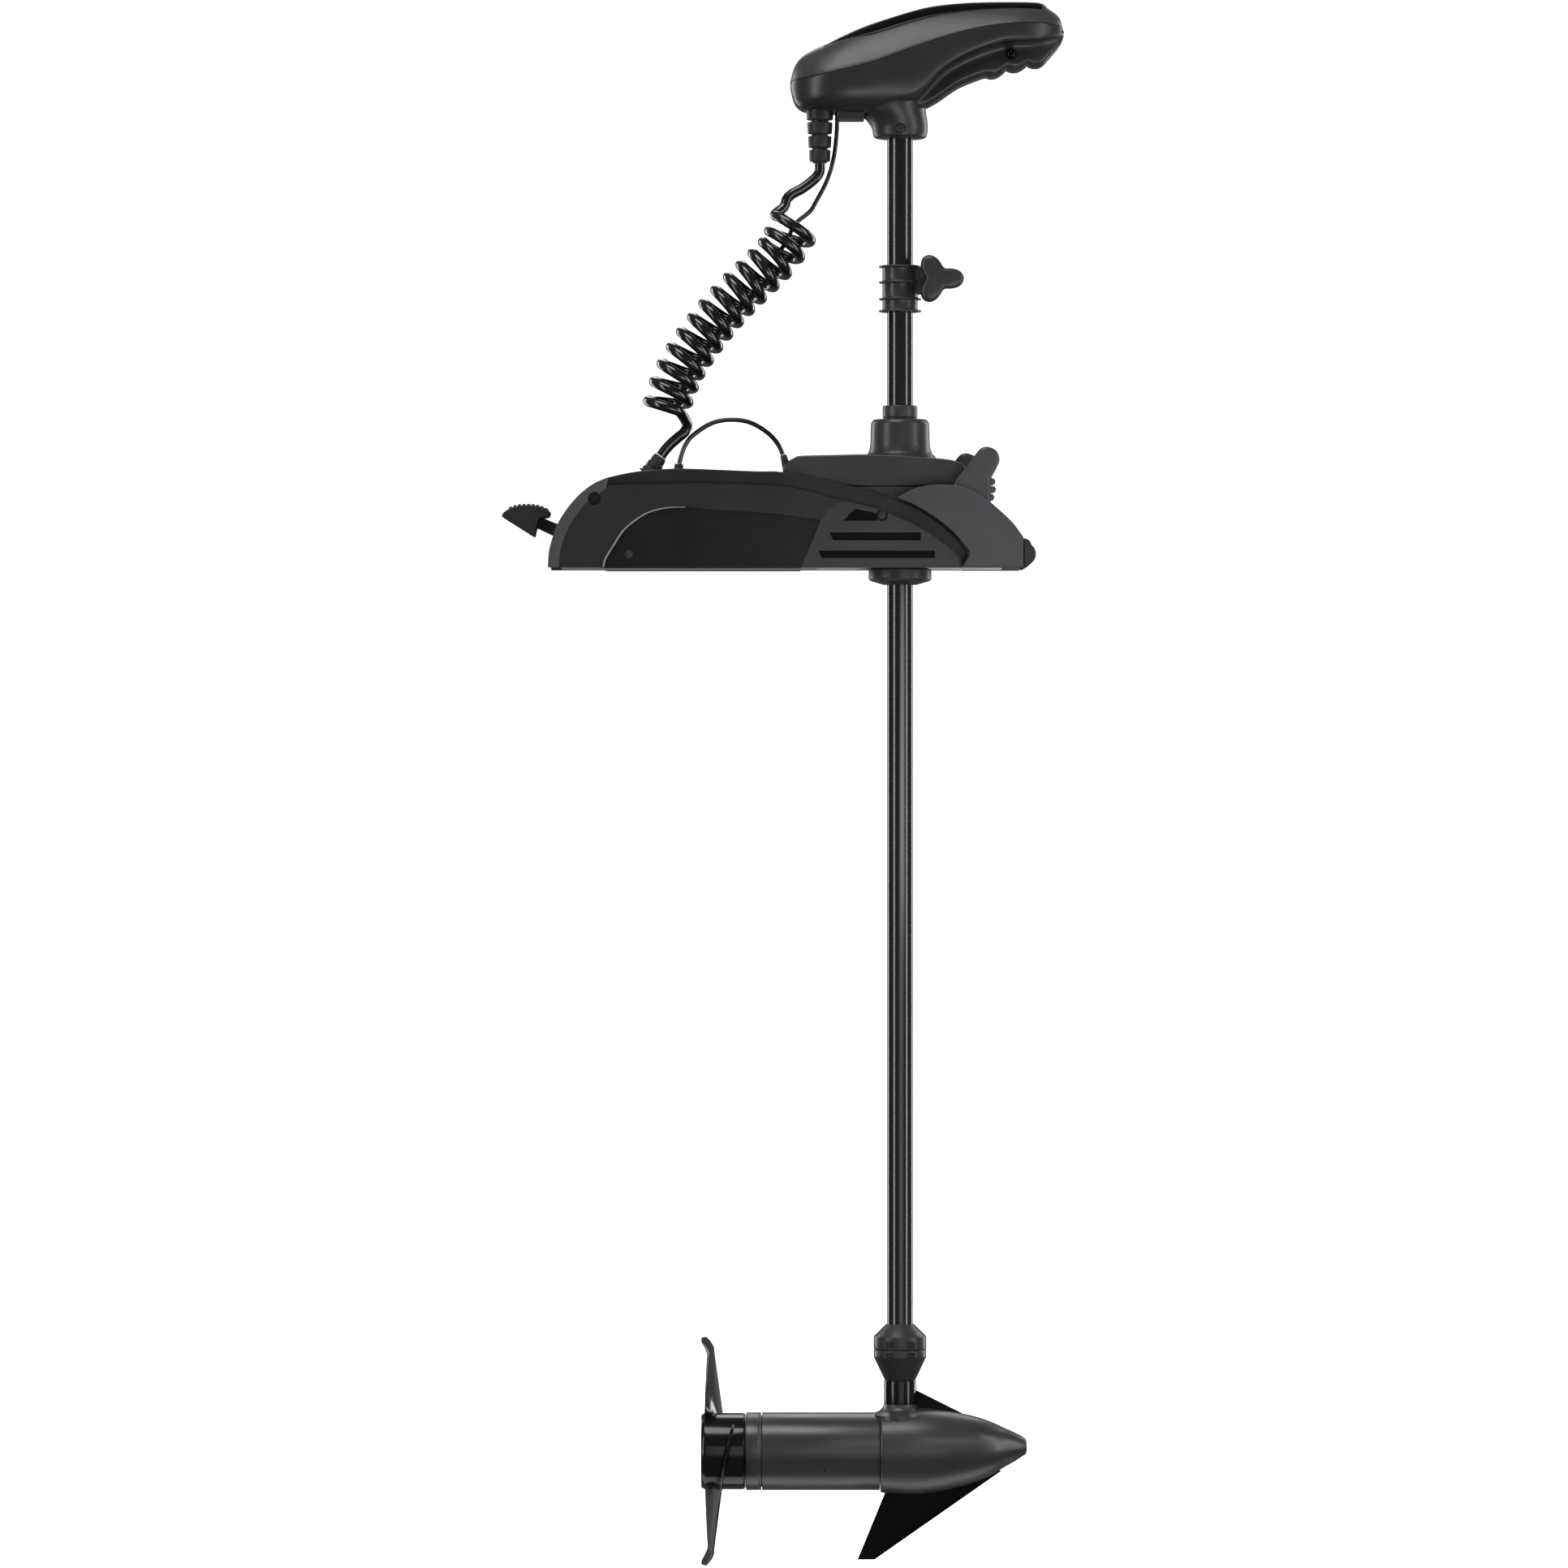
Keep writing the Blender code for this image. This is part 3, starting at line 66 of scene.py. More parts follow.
UNIT_AXIS = (0, 0, UNIT_Z)
UNIT_R = 0.045
HUB_R, PROP_R = 0.0442, 0.132
HUB_X0, HUB_X1 = -0.0038, 0.047
BELL_X1, CENTRE_X1 = 0.0662, 0.2033
COLLAR_Z0, COLLAR_Z1 = 0.297, 0.352
KNOB_X, KNOB_Z = 0.27, 0.3346
LEVER_X, LEVER_Z = -0.0865, 0.015
CORD_R, SONAR_R, LOOP_R = 0.0061, 0.0026, 0.0027
RELIEF_X, RELIEF_Y = 0.1335, -0.012
GLAND_Y = -0.03


# Curve and outline helpers
def smooth_curve(points, steps):
    """A Catmull-Rom curve through the points, with this many steps from each to the next."""
    points = [Vector(p) for p in points]
    padded = [2 * points[0] - points[1], *points, 2 * points[-1] - points[-2]]
    curve = []
    for i in range(1, len(padded) - 2):
        p0, p1, p2, p3 = padded[i - 1 : i + 3]
        for step in range(steps):
            t = step / steps
            a = 2 * p1 + (p2 - p0) * t
            b = (2 * p0 - 5 * p1 + 4 * p2 - p3) * t**2
            c = (3 * p1 - p0 - 3 * p2 + p3) * t**3
            curve.append((a + b + c) / 2)
    curve.append(points[-1])
    return curve


def evenly(points, spacing=None, count=None):
    """The same line with equally spaced points."""
    line = np.array([tuple(p) for p in points], float)
    along = np.concatenate([[0.0], np.cumsum(np.linalg.norm(np.diff(line, axis=0), axis=1))])
    if count is None:
        count = max(2, int(round(along[-1] / spacing)) + 1)
    places = np.linspace(0, along[-1], count)
    return np.column_stack([np.interp(places, along, line[:, i]) for i in range(line.shape[1])])


def even_curve(points, steps, spacing=None, count=None):
    return evenly(smooth_curve(points, steps), spacing, count)


def arc(centre, radius, start, end, steps):
    """Points on a circle, from one angle in degrees to another."""
    angles = [math.radians(start + (end - start) * i / steps) for i in range(steps + 1)]
    return [(centre[0] + radius * math.cos(a), centre[1] + radius * math.sin(a)) for a in angles]


def fillet(points, radius, steps=4, closed=True):
    """Rounds the corners of an outline. A point may carry its own radius as a third value."""
    rounded = []
    count = len(points)
    for i, point in enumerate(points):
        here = Vector(point[:2])
        reach = point[2] if len(point) > 2 else radius
        if (not closed and i in (0, count - 1)) or reach <= 0:
            rounded.append((here.x, here.y))
            continue
        before = Vector(points[i - 1][:2]) - here
        after = Vector(points[(i + 1) % count][:2]) - here
        reach = min(reach, 0.45 * before.length, 0.45 * after.length)
        start = here + before.normalized() * reach
        end = here + after.normalized() * reach
        for step in range(steps + 1):
            t = step / steps
            spot = start * (1 - t) ** 2 + here * (2 * t * (1 - t)) + end * t**2
            rounded.append((spot.x, spot.y))
    return rounded


def smoothstep(t):
    t = min(1.0, max(0.0, t))
    return t * t * (3 - 2 * t)


# Mesh helpers
def add_object(name, mesh):
    obj = bpy.data.objects.new(name, mesh)
    bpy.context.scene.collection.objects.link(obj)
    return obj


def from_bmesh(name, bm):
    bmesh.ops.recalc_face_normals(bm, faces=bm.faces)
    mesh = bpy.data.meshes.new(name)
    bm.to_mesh(mesh)
    bm.free()
    return add_object(name, mesh)


def shade(obj, degrees=35):
    obj.data.shade_smooth()
    obj.data.set_sharp_from_angle(angle=math.radians(degrees))


def skin(bm, layers):
    """Faces between rings of equally many points, with the ends closed."""
    count = len(layers[0])
    for a, b in zip(layers, layers[1:]):
        for i in range(count):
            j = (i + 1) % count
            bm.faces.new((a[i], a[j], b[j], b[i]))
    bm.faces.new(layers[0])
    bm.faces.new(layers[-1])


def loft(name, rings):
    bm = bmesh.new()
    skin(bm, [[bm.verts.new(tuple(p)) for p in ring] for ring in rings])
    return from_bmesh(name, bm)


def prism(name, outline, low, high):
    """An outline in X and Z, thick from low to high along Y."""
    return loft(name, [[(p[0], level, p[1]) for p in outline] for level in (low, high)])


def turned(name, profile, origin=SHAFT_AXIS, axis="Z", segments=96, closed=True):
    """Spins a profile of (radius, height) about an axis through the origin, the shaft's unless told."""
    bm = bmesh.new()
    rows = []
    for radius, height in profile:
        if radius < 1e-6:
            rows.append([bm.verts.new(spin_point(0.0, height, 0.0, origin, axis))])
            continue
        angles = [2 * math.pi * i / segments for i in range(segments)]
        rows.append([bm.verts.new(spin_point(radius, height, a, origin, axis)) for a in angles])
    pairs = list(zip(rows, rows[1:]))
    if closed:
        pairs.append((rows[-1], rows[0]))
    for a, b in pairs:
        for i in range(segments):
            j = (i + 1) % segments
            corners = [a[i % len(a)], a[j % len(a)], b[j % len(b)], b[i % len(b)]]
            unique = list(dict.fromkeys(corners))
            if len(unique) > 2:
                bm.faces.new(unique)
    return from_bmesh(name, bm)


def spin_point(radius, height, angle, origin, axis):
    u, v = radius * math.cos(angle), radius * math.sin(angle)
    local = {"Z": (u, v, height), "X": (height, u, v), "Y": (u, height, v)}[axis]
    return tuple(a + b for a, b in zip(local, origin))


def rod(name, start, end, radius, segments=48, bevel=0.0, end_radius=None):
    """A round bar with softened ends between two points."""
    start, end = Vector(start), Vector(end)
    length = (end - start).length
    last = radius if end_radius is None else end_radius
    profile = [(0.0, 0.0), (radius, 0.0), (last, length), (0.0, length)]
    if bevel:
        profile = fillet(profile, bevel, 4, closed=False)
    obj = turned(name, profile, (0, 0, 0), "Z", segments, closed=False)
    return aim(obj, start, end)


def aim(obj, start, end):
    """Moves a piece modelled up the Z axis so that it starts at one point and points at the other."""
    turn = (end - start).to_track_quat("Z", "Y").to_matrix().to_4x4()
    obj.data.transform(Matrix.Translation(start) @ turn)
    return obj


def box(name, low, high):
    bm = bmesh.new()
    bmesh.ops.create_cube(bm, size=1)
    bmesh.ops.scale(bm, vec=Vector(high) - Vector(low), verts=bm.verts)
    bmesh.ops.translate(bm, vec=(Vector(high) + Vector(low)) / 2, verts=bm.verts)
    return from_bmesh(name, bm)


def sweep(name, path, radius, sides=18):
    """A tube along a path, its rings carried along without twist, with flat ends."""
    path = np.array(path, float)
    tangents = np.gradient(path, axis=0)
    tangents /= np.linalg.norm(tangents, axis=1)[:, None]
    normal = np.cross(tangents[0], (0.31, 0.91, 0.27))
    angles = np.linspace(0, 2 * math.pi, sides, endpoint=False)
    radii = np.broadcast_to(radius, len(path))
    bm = bmesh.new()
    rings = []
    for centre, tangent, size in zip(path, tangents, radii):
        normal = normal - tangent * (normal @ tangent)
        normal /= np.linalg.norm(normal)
        side = np.cross(tangent, normal)
        ring = centre + size * (np.outer(np.cos(angles), normal) + np.outer(np.sin(angles), side))
        rings.append([bm.verts.new(tuple(p)) for p in ring])
    skin(bm, rings)
    return from_bmesh(name, bm)


def apply_modifiers(obj):
    depsgraph = bpy.context.evaluated_depsgraph_get()
    mesh = bpy.data.meshes.new_from_object(obj.evaluated_get(depsgraph))
    obj.modifiers.clear()
    old = obj.data
    obj.data = mesh
    bpy.data.meshes.remove(old)


def boolean(obj, others, operation="DIFFERENCE"):
    """Cuts the other meshes out of the piece, or adds them, and deletes them."""
    for other in others:
        modifier = obj.modifiers.new("Boolean", "BOOLEAN")
        modifier.operation = operation
        modifier.solver = "EXACT"
        modifier.object = other
    apply_modifiers(obj)
    for other in others:
        bpy.data.objects.remove(other)
    return obj


def add_bevel(obj, width, segments, degrees):
    """A modifier that rounds every edge sharper than the angle."""
    modifier = obj.modifiers.new("Bevel", "BEVEL")
    modifier.width = width
    modifier.segments = segments
    modifier.limit_method = "ANGLE"
    modifier.angle_limit = math.radians(degrees)
    return modifier


def bevel(obj, width, segments=3, degrees=40):
    """Rounds the sharp edges, then shades the flats flat."""
    add_bevel(obj, width, segments, degrees).miter_outer = "MITER_ARC"
    apply_modifiers(obj)
    obj.data.shade_smooth()
    obj.modifiers.new("Weighted", "WEIGHTED_NORMAL").keep_sharp = True
    apply_modifiers(obj)
    return obj


def join(obj, *others):
    """Puts the other meshes in the same object as loose parts."""
    bm = bmesh.new()
    for piece in (obj, *others):
        bm.from_mesh(piece.data)
    mesh = bpy.data.meshes.new(obj.name)
    bm.to_mesh(mesh)
    bm.free()
    obj.data = mesh
    for piece in others:
        bpy.data.objects.remove(piece)
    return obj


def place(obj, body, material, nodes=(), smooth=None):
    """Paints a finished piece, hangs it on its body and hides the CAD nodes it stands for."""
    if smooth:
        shade(obj, smooth)
    obj.data.materials.clear()
    obj.data.materials.append(material)
    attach(obj, body)
    if nodes:
        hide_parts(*nodes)
    return obj


def dress(material, *nodes, soften=0.0):
    """Gives CAD nodes that stay in view their finish, and softens their edges."""
    for name in nodes:
        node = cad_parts[name]
        node.data.materials.clear()
        node.data.materials.append(material)
        if soften:
            add_bevel(node, soften, 2, 40)


# Materials
def add_node(tree, kind, values):
    """A new shader node with these inputs."""
    node = tree.nodes.new(kind)
    set_inputs(node, values)
    return node


def set_inputs(node, values):
    for name, value in values.items():
        node.inputs[name].default_value = value


def noise_node(tree, coordinates, scale, detail, stretch):
    mapping = add_node(tree, "ShaderNodeMapping", {"Scale": stretch})
    tree.links.new(coordinates, mapping.inputs["Vector"])
    noise = add_node(tree, "ShaderNodeTexNoise", {"Scale": scale, "Detail": detail})
    tree.links.new(mapping.outputs["Vector"], noise.inputs["Vector"])
    return noise.outputs["Fac"]


def spread(tree, value, low, high):
    """Maps the middle of a noise's range to low..high."""
    node = add_node(tree, "ShaderNodeMapRange",
                    {"From Min": 0.3, "From Max": 0.7, "To Min": low, "To Max": high})
    tree.links.new(value, node.inputs["Value"])
    return node.outputs["Result"]


def surface(name, colour, roughness, metallic=0.0, mottle=0.12, rough_spread=0.05, grain=900.0,
            depth=0.00003, stretch=(1, 1, 1), specular=0.5):
    """A moulded or coated surface: colour and roughness drift softly, and a fine grain bumps it."""
    material = bpy.data.materials.new(name)
    material.use_nodes = True
    tree = material.node_tree
    links = tree.links
    shader = tree.nodes["Principled BSDF"]
    set_inputs(shader, {"Metallic": metallic, "Specular IOR Level": specular})
    coordinates = tree.nodes.new("ShaderNodeTexCoord").outputs["Object"]
    broad = noise_node(tree, coordinates, 14.0, 4.0, stretch)
    fine = noise_node(tree, coordinates, grain, 2.0, stretch)
    mix = tree.nodes.new("ShaderNodeMix")
    mix.data_type = "RGBA"
    for socket, factor in (("A", 1 - mottle), ("B", 1 + mottle)):
        mix.inputs[socket].default_value = (*[c * factor for c in colour], 1.0)
    links.new(spread(tree, broad, 0.0, 1.0), mix.inputs["Factor"])
    links.new(mix.outputs["Result"], shader.inputs["Base Color"])
    rough = spread(tree, broad, max(0.02, roughness - rough_spread), roughness + rough_spread)
    links.new(rough, shader.inputs["Roughness"])
    bump = add_node(tree, "ShaderNodeBump", {"Distance": depth, "Strength": 1.0})
    links.new(fine, bump.inputs["Height"])
    links.new(bump.outputs["Normal"], shader.inputs["Normal"])
    return material


HOUSING = surface("housing_plastic", (0.019, 0.0195, 0.021), 0.36, depth=0.00005, specular=0.28)
# The head's upper shell is painted about twice as light as its lower shell: painted light on the
# upward-facing upper shell, painted shade on the lower sides.
HEAD_LOWER = surface("head_lower_plastic", (0.014, 0.0145, 0.016), 0.35, depth=0.00004, specular=0.28)
HEAD_UPPER = surface("head_upper_plastic", (0.03, 0.031, 0.034), 0.38, depth=0.00005, specular=0.26)
FRAME = surface("frame_plastic", (0.0094, 0.0095, 0.0102), 0.38, depth=0.00005, specular=0.22)
# Near-black for painted shade on the floor of the side recess.
RECESS = surface("recess_shade_plastic", (0.0036, 0.0036, 0.0039), 0.38, depth=0.00005, specular=0.2)
# Lighter plastic for painted light: on the side plates' sloping back rim, and as a painted highlight on the
# pedal treads.
RIM = surface("rim_painted_light_plastic", (0.044, 0.045, 0.048), 0.38, depth=0.00005, specular=0.24)
PLATE = surface("plate_plastic", (0.012, 0.0123, 0.0135), 0.38, depth=0.00006, specular=0.22)
RAMP = surface("ramp_plastic", (0.031, 0.032, 0.035), 0.36, depth=0.00006, specular=0.28)
PANEL = surface("panel_gloss", (0.0015, 0.0015, 0.0017), 0.12, depth=0.000004, specular=0.09)
SHAFT = surface("shaft_composite", (0.0045, 0.0045, 0.005), 0.17, mottle=0.2, rough_spread=0.03, grain=700.0,
                depth=0.000004, stretch=(1, 1, 0.02))
# Light grey for a painted highlight: the light line along the left of each side recess arch.
PAINTED_HIGHLIGHT = surface("painted_highlight_grey", (0.17, 0.17, 0.18), 0.4, depth=0.00002)
MOTOR = surface("motor_paint", (0.022, 0.023, 0.025), 0.33, specular=0.38, grain=520.0, depth=0.00004)
FIN = surface("fin_paint", (0.0014, 0.0014, 0.0016), 0.42, specular=0.07, grain=520.0, depth=0.00004)
PROPELLER = surface("propeller_plastic", (0.0028, 0.0028, 0.0032), 0.14, depth=0.000006, specular=0.26)
RUBBER = surface("black_rubber", (0.012, 0.012, 0.012), 0.46, grain=1400.0, depth=0.00005, specular=0.22)
JACKET = surface("cord_jacket", (0.0022, 0.0022, 0.0025), 0.2, rough_spread=0.04, grain=500.0, depth=0.00001)
BLACK = surface("black_plastic", (0.023, 0.023, 0.0245), 0.36, depth=0.00005, specular=0.26)
EXTRUSION = surface("extrusion", (0.3, 0.31, 0.32), 0.38, metallic=1.0, stretch=(0.04, 1, 1), depth=0.00001)
STEEL = surface("steel", (0.5, 0.5, 0.51), 0.3, metallic=1.0, depth=0.00001)
BRONZE = surface("bronze", (0.52, 0.34, 0.15), 0.34, metallic=1.0, depth=0.00001)
COPPER = surface("copper", (0.7, 0.33, 0.18), 0.34, metallic=1.0, grain=600.0, depth=0.00005)
MAGNET = surface("magnet", (0.07, 0.07, 0.08), 0.55, metallic=0.6)
BOARD = surface("board", (0.012, 0.11, 0.04), 0.42, grain=300.0, depth=0.00008)


# Camera, lights and the studio
WHITE = (1, 1, 1, 1)
FLOOR_Z, BOWL_TOP = -1.16, 12.0
BOWL_R, BEND_R = 12.0, 2.0


def studio():
    """A white bowl that only the camera sees, with soft boxes round the object."""
    camera_data = bpy.data.cameras.new("camera")
    camera_data.sensor_width = 36
    camera_data.lens = 178.4
    camera_data.clip_end = 60
    camera = bpy.data.objects.new("camera", camera_data)
    camera.location = (0.0921, -9.0, -0.2491)
    camera.rotation_euler = (math.pi / 2, 0, 0)
    bpy.context.scene.collection.objects.link(camera)
    bpy.context.scene.camera = camera

    bend = [(BOWL_R + BEND_R * math.sin(a), FLOOR_Z + BEND_R * (1 - math.cos(a)))
            for a in np.linspace(0.1, math.pi / 2, 16)]
    profile = [(0.0, FLOOR_Z), (BOWL_R, FLOOR_Z), *bend, (BOWL_R + BEND_R, BOWL_TOP)]
    bowl = turned("studio_bowl", profile, (0, 0, 0), "Z", 128, False)
    bowl.data.shade_smooth()
    paper = surface("studio_paper", (0.92, 0.92, 0.92), 0.9, mottle=0.004, depth=0.0)
    set_inputs(paper.node_tree.nodes["Principled BSDF"], {"Emission Color": WHITE, "Emission Strength": 0.95})
    bowl.data.materials.append(paper)
    bowl.visible_glossy = False
    bowl.visible_diffuse = False
    bowl.visible_shadow = False

    world = bpy.data.worlds.new("studio_world")
    world.use_nodes = True
    set_inputs(world.node_tree.nodes["Background"], {"Color": WHITE, "Strength": 0.18})
    bpy.context.scene.world = world
    bpy.context.scene.view_settings.view_transform = "Standard"

    def soft_box(name, spot, target, size, power):
        light = bpy.data.lights.new(name, "AREA")
        light.shape = "RECTANGLE"
        light.size, light.size_y = size
        light.energy = power
        lamp = bpy.data.objects.new(name, light)
        lamp.location = spot
        lamp.rotation_euler = (Vector(target) - Vector(spot)).to_track_quat("-Z", "Y").to_euler()
        bpy.context.scene.collection.objects.link(lamp)

    soft_box("key_top", (-0.6, -1.4, 3.4), (0.1, 0, 0.1), (2.4, 1.6), 110)
    soft_box("strip_left", (-2.6, -2.0, 0.2), (0.15, 0, -0.2), (0.5, 3.2), 60)
    soft_box("strip_right", (2.9, -1.5, 0.1), (0.15, 0, -0.2), (0.45, 3.2), 55)
    soft_box("fill_low", (0.6, -2.4, -0.8), (0.18, 0, -1.02), (1.6, 1.2), 8)
    soft_box("bounce", (0.1, 0.1, -2.3), (0.1, 0, -1.0), (2.4, 0.7), 12)
    soft_box("head_bounce", (0.7, -1.3, -0.2), (0.32, 0, 0.58), (0.9, 0.5), 6)
    soft_box("back_fill", (0.3, 3.2, 2.2), (0.1, 0, -0.1), (2.4, 1.6), 45)
    soft_box("back_left", (-2.4, 2.4, 0.2), (0.1, 0, -0.2), (0.7, 3.2), 55)
    soft_box("back_right", (2.6, 2.2, 0.2), (0.1, 0, -0.2), (0.7, 3.2), 55)


# Cords
COIL_AXIS = [
    (0.1045, -0.014, 0.398), (0.089, -0.016, 0.368), (0.065, -0.0185, 0.342), (0.0355, -0.021, 0.313),
    (0.01, -0.0235, 0.284), (-0.011, -0.0255, 0.256), (-0.0285, -0.0275, 0.227), (-0.04, -0.029, 0.198),
    (-0.0442, -0.03, 0.179),
]
LEAD_ROUTE = [
    (RELIEF_X, RELIEF_Y, 0.4605), (0.1305, -0.0122, 0.454), (0.1225, -0.0128, 0.4465),
    (0.112, -0.0134, 0.439), (0.101, -0.0138, 0.433), (0.0948, -0.0142, 0.4262), (0.0925, -0.0152, 0.4185),
]
TAIL_ROUTE = [
    (-0.0196, -0.0262, 0.166), (-0.023, -0.03, 0.157), (-0.03, -0.03, 0.151), (-0.0388, -0.03, 0.1433),
    (-0.0453, -0.03, 0.1361), (-0.0501, -0.03, 0.1296),
]
SONAR_ROUTE = [
    (0.1535, -0.012, 0.54), (0.1535, -0.012, 0.52), (0.153, -0.012, 0.503), (0.1497, -0.012, 0.4756),
    (0.142, -0.0125, 0.4493), (0.129, -0.0132, 0.424), (0.122, -0.0136, 0.413), (0.1045, -0.014, 0.398),
    (0.096, -0.0152, 0.38), (0.086, -0.0163, 0.365),
]
LOOP_ROUTE = [
    (-0.029, -0.03, 0.1205), (-0.0262, -0.0302, 0.131), (-0.0218, -0.0304, 0.142),
    (-0.0132, -0.0306, 0.1532), (0.0085, -0.0308, 0.1673), (0.0301, -0.031, 0.1714),
    (0.0526, -0.0308, 0.1683), (0.0724, -0.0305, 0.157), (0.0846, -0.0302, 0.144), (0.0908, -0.03, 0.1312),
]
RELIEF_BOTTOM = 0.4663
HEAD_CORD_TOP = 0.54
COIL_TURNS = 13.5
COIL_MEAN_R = 0.0227
CORD_STEP = 0.0026


def coil_helix():
    """The curly cord's centreline: it winds round the axis from the left at the top to the right below."""
    axis = even_curve(COIL_AXIS, 12, count=400)
    tangents = np.gradient(axis, axis=0)
    tangents /= np.linalg.norm(tangents, axis=1)[:, None]
    steps = int(COIL_TURNS * 48)
    helix = []
    for i in range(2, steps - 3):
        share = i / steps
        row = share * (len(axis) - 1)
        low = min(int(row), len(axis) - 2)
        middle = axis[low] + (axis[low + 1] - axis[low]) * (row - low)
        tangent = tangents[low]
        right = np.array([-tangent[2], 0.0, tangent[0]])
        right /= np.linalg.norm(right)
        towards = np.cross(tangent, right)
        if towards[1] > 0:
            towards = -towards
        angle = math.pi - 2 * math.pi * COIL_TURNS * share
        mean = COIL_MEAN_R + 0.0035 * max(0.0, 1 - share / 0.1)
        helix.append(middle + mean * (math.cos(angle) * right + math.sin(angle) * towards))
    return helix


def cord_piece(name, path, radius, nodes, sides=20):
    """One length of cord between two bodies."""
    piece = sweep(name, path, radius, sides)
    shade(piece, 60)
    piece.data.materials.append(JACKET)
    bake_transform(piece)
    if nodes:
        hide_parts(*nodes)


def cords():
    """The power cord in three chained lengths, the sonar cable in two, and the loop cable."""
    helix = coil_helix()
    relief_end = (RELIEF_X, RELIEF_Y, RELIEF_BOTTOM)
    line = even_curve([relief_end, *LEAD_ROUTE, *helix[::4], *TAIL_ROUTE], 6, spacing=CORD_STEP)
    top_turn = next(i for i, p in enumerate(line) if p[2] < 0.408)
    upper, coil = line[: top_turn + 1][::-1], line[top_turn:][::-1]
    cord_piece("coil_cord", coil, CORD_R,
               ("coil_cord_coil", "coil_cord_tail"))
    cord_piece("coil_cord_upper_lead", upper, CORD_R,
               ("coil_cord_lead",))
    riser = evenly([relief_end, (RELIEF_X, RELIEF_Y, HEAD_CORD_TOP)], spacing=CORD_STEP)
    cord_piece("coil_cord_head_riser", riser, CORD_R,
               ("coil_cord_riser",))

    sonar = even_curve(SONAR_ROUTE, 10, spacing=CORD_STEP)
    split = next(i for i, p in enumerate(sonar) if p[2] < 0.449)
    upper, lower = sonar[: split + 1][::-1], sonar[split:][::-1]
    cord_piece("sonar_cable_upper", upper, SONAR_R,
               ("sonar_cable",), 12)
    cord_piece("sonar_cable_lower", lower, SONAR_R, (), 12)
    loop = even_curve(LOOP_ROUTE, 10, spacing=0.0024)
    cord_piece("loop_cable_bend", loop, LOOP_R, ("loop_cable",), 14)


# The steering head
HEAD_TOP = [
    (0.0992, 0.564), (0.1039, 0.5806), (0.1126, 0.5928), (0.1248, 0.6007), (0.1387, 0.607), (0.1561, 0.616),
    (0.1833, 0.628), (0.2162, 0.6392), (0.251, 0.6493), (0.2811, 0.6542), (0.3243, 0.6568), (0.3845, 0.6563),
    (0.3976, 0.6493), (0.4108, 0.6385), (0.416, 0.6223),
]
HEAD_BOTTOM = [
    (0.0992, 0.556), (0.1038, 0.539), (0.1124, 0.5303), (0.1241, 0.5283), (0.1579, 0.5264), (0.1842, 0.5255),
    (0.24, 0.529), (0.2651, 0.5377), (0.2914, 0.5553), (0.313, 0.5649), (0.3512, 0.578), (0.376, 0.5833),
    (0.3948, 0.5875), (0.4042, 0.5962), (0.4127, 0.6072), (0.416, 0.616),
]
HEAD_SEAM = [
    (0.09, 0.5625), (0.14, 0.57), (0.195, 0.583), (0.25, 0.603), (0.305, 0.62), (0.36, 0.6285),
    (0.43, 0.629),
]
HEAD_RIDGE = [
    (0.15, 0.54), (0.2, 0.536), (0.2378, 0.5461), (0.2698, 0.5725), (0.3027, 0.5922), (0.3459, 0.6072),
    (0.3845, 0.6101), (0.416, 0.619),
]
PANEL_X0, PANEL_X1 = 0.1382, 0.3905
HEAD_X0, HEAD_X1 = 0.0992, 0.416
SEAM_GAP = 0.0005
CROWN_POWER = 2.5
GRIP_BUMPS, GRIP_START, GRIP_END, GRIP_DROP = 0.024, 0.3255, 0.3974, 0.0052


def line_through(points):
    """Z at X on the smooth curve through the points."""
    curve = np.array([tuple(p) for p in smooth_curve(points, 8)])
    return lambda x: float(np.interp(x, curve[:, 0], curve[:, 1]))


TOP_AT, BOTTOM_AT = line_through(HEAD_TOP), line_through(HEAD_BOTTOM)
SEAM_AT, RIDGE_AT = line_through(HEAD_SEAM), line_through(HEAD_RIDGE)


def head_half_width(x):
    """The head's plan outline: broad over the shaft and narrower at the nose, with round ends."""
    start, end = 0.0985, 0.4165
    along = (x - start) / (end - start)
    broad = 0.056 - 0.012 * along
    back = min(1.0, max(0.0, along) / 0.22)
    front = min(1.0, max(0.0, 1 - along) / 0.2)
    return broad * math.sqrt(1 - (1 - back) ** 2) * math.sqrt(1 - (1 - front) ** 2)


def grip_bump(x):
    """How far the finger grips hang below the nose."""
    if not GRIP_START < x < GRIP_END:
        return 0.0
    return GRIP_DROP * math.sin(math.pi * ((x - GRIP_START) % GRIP_BUMPS) / GRIP_BUMPS) ** 0.8


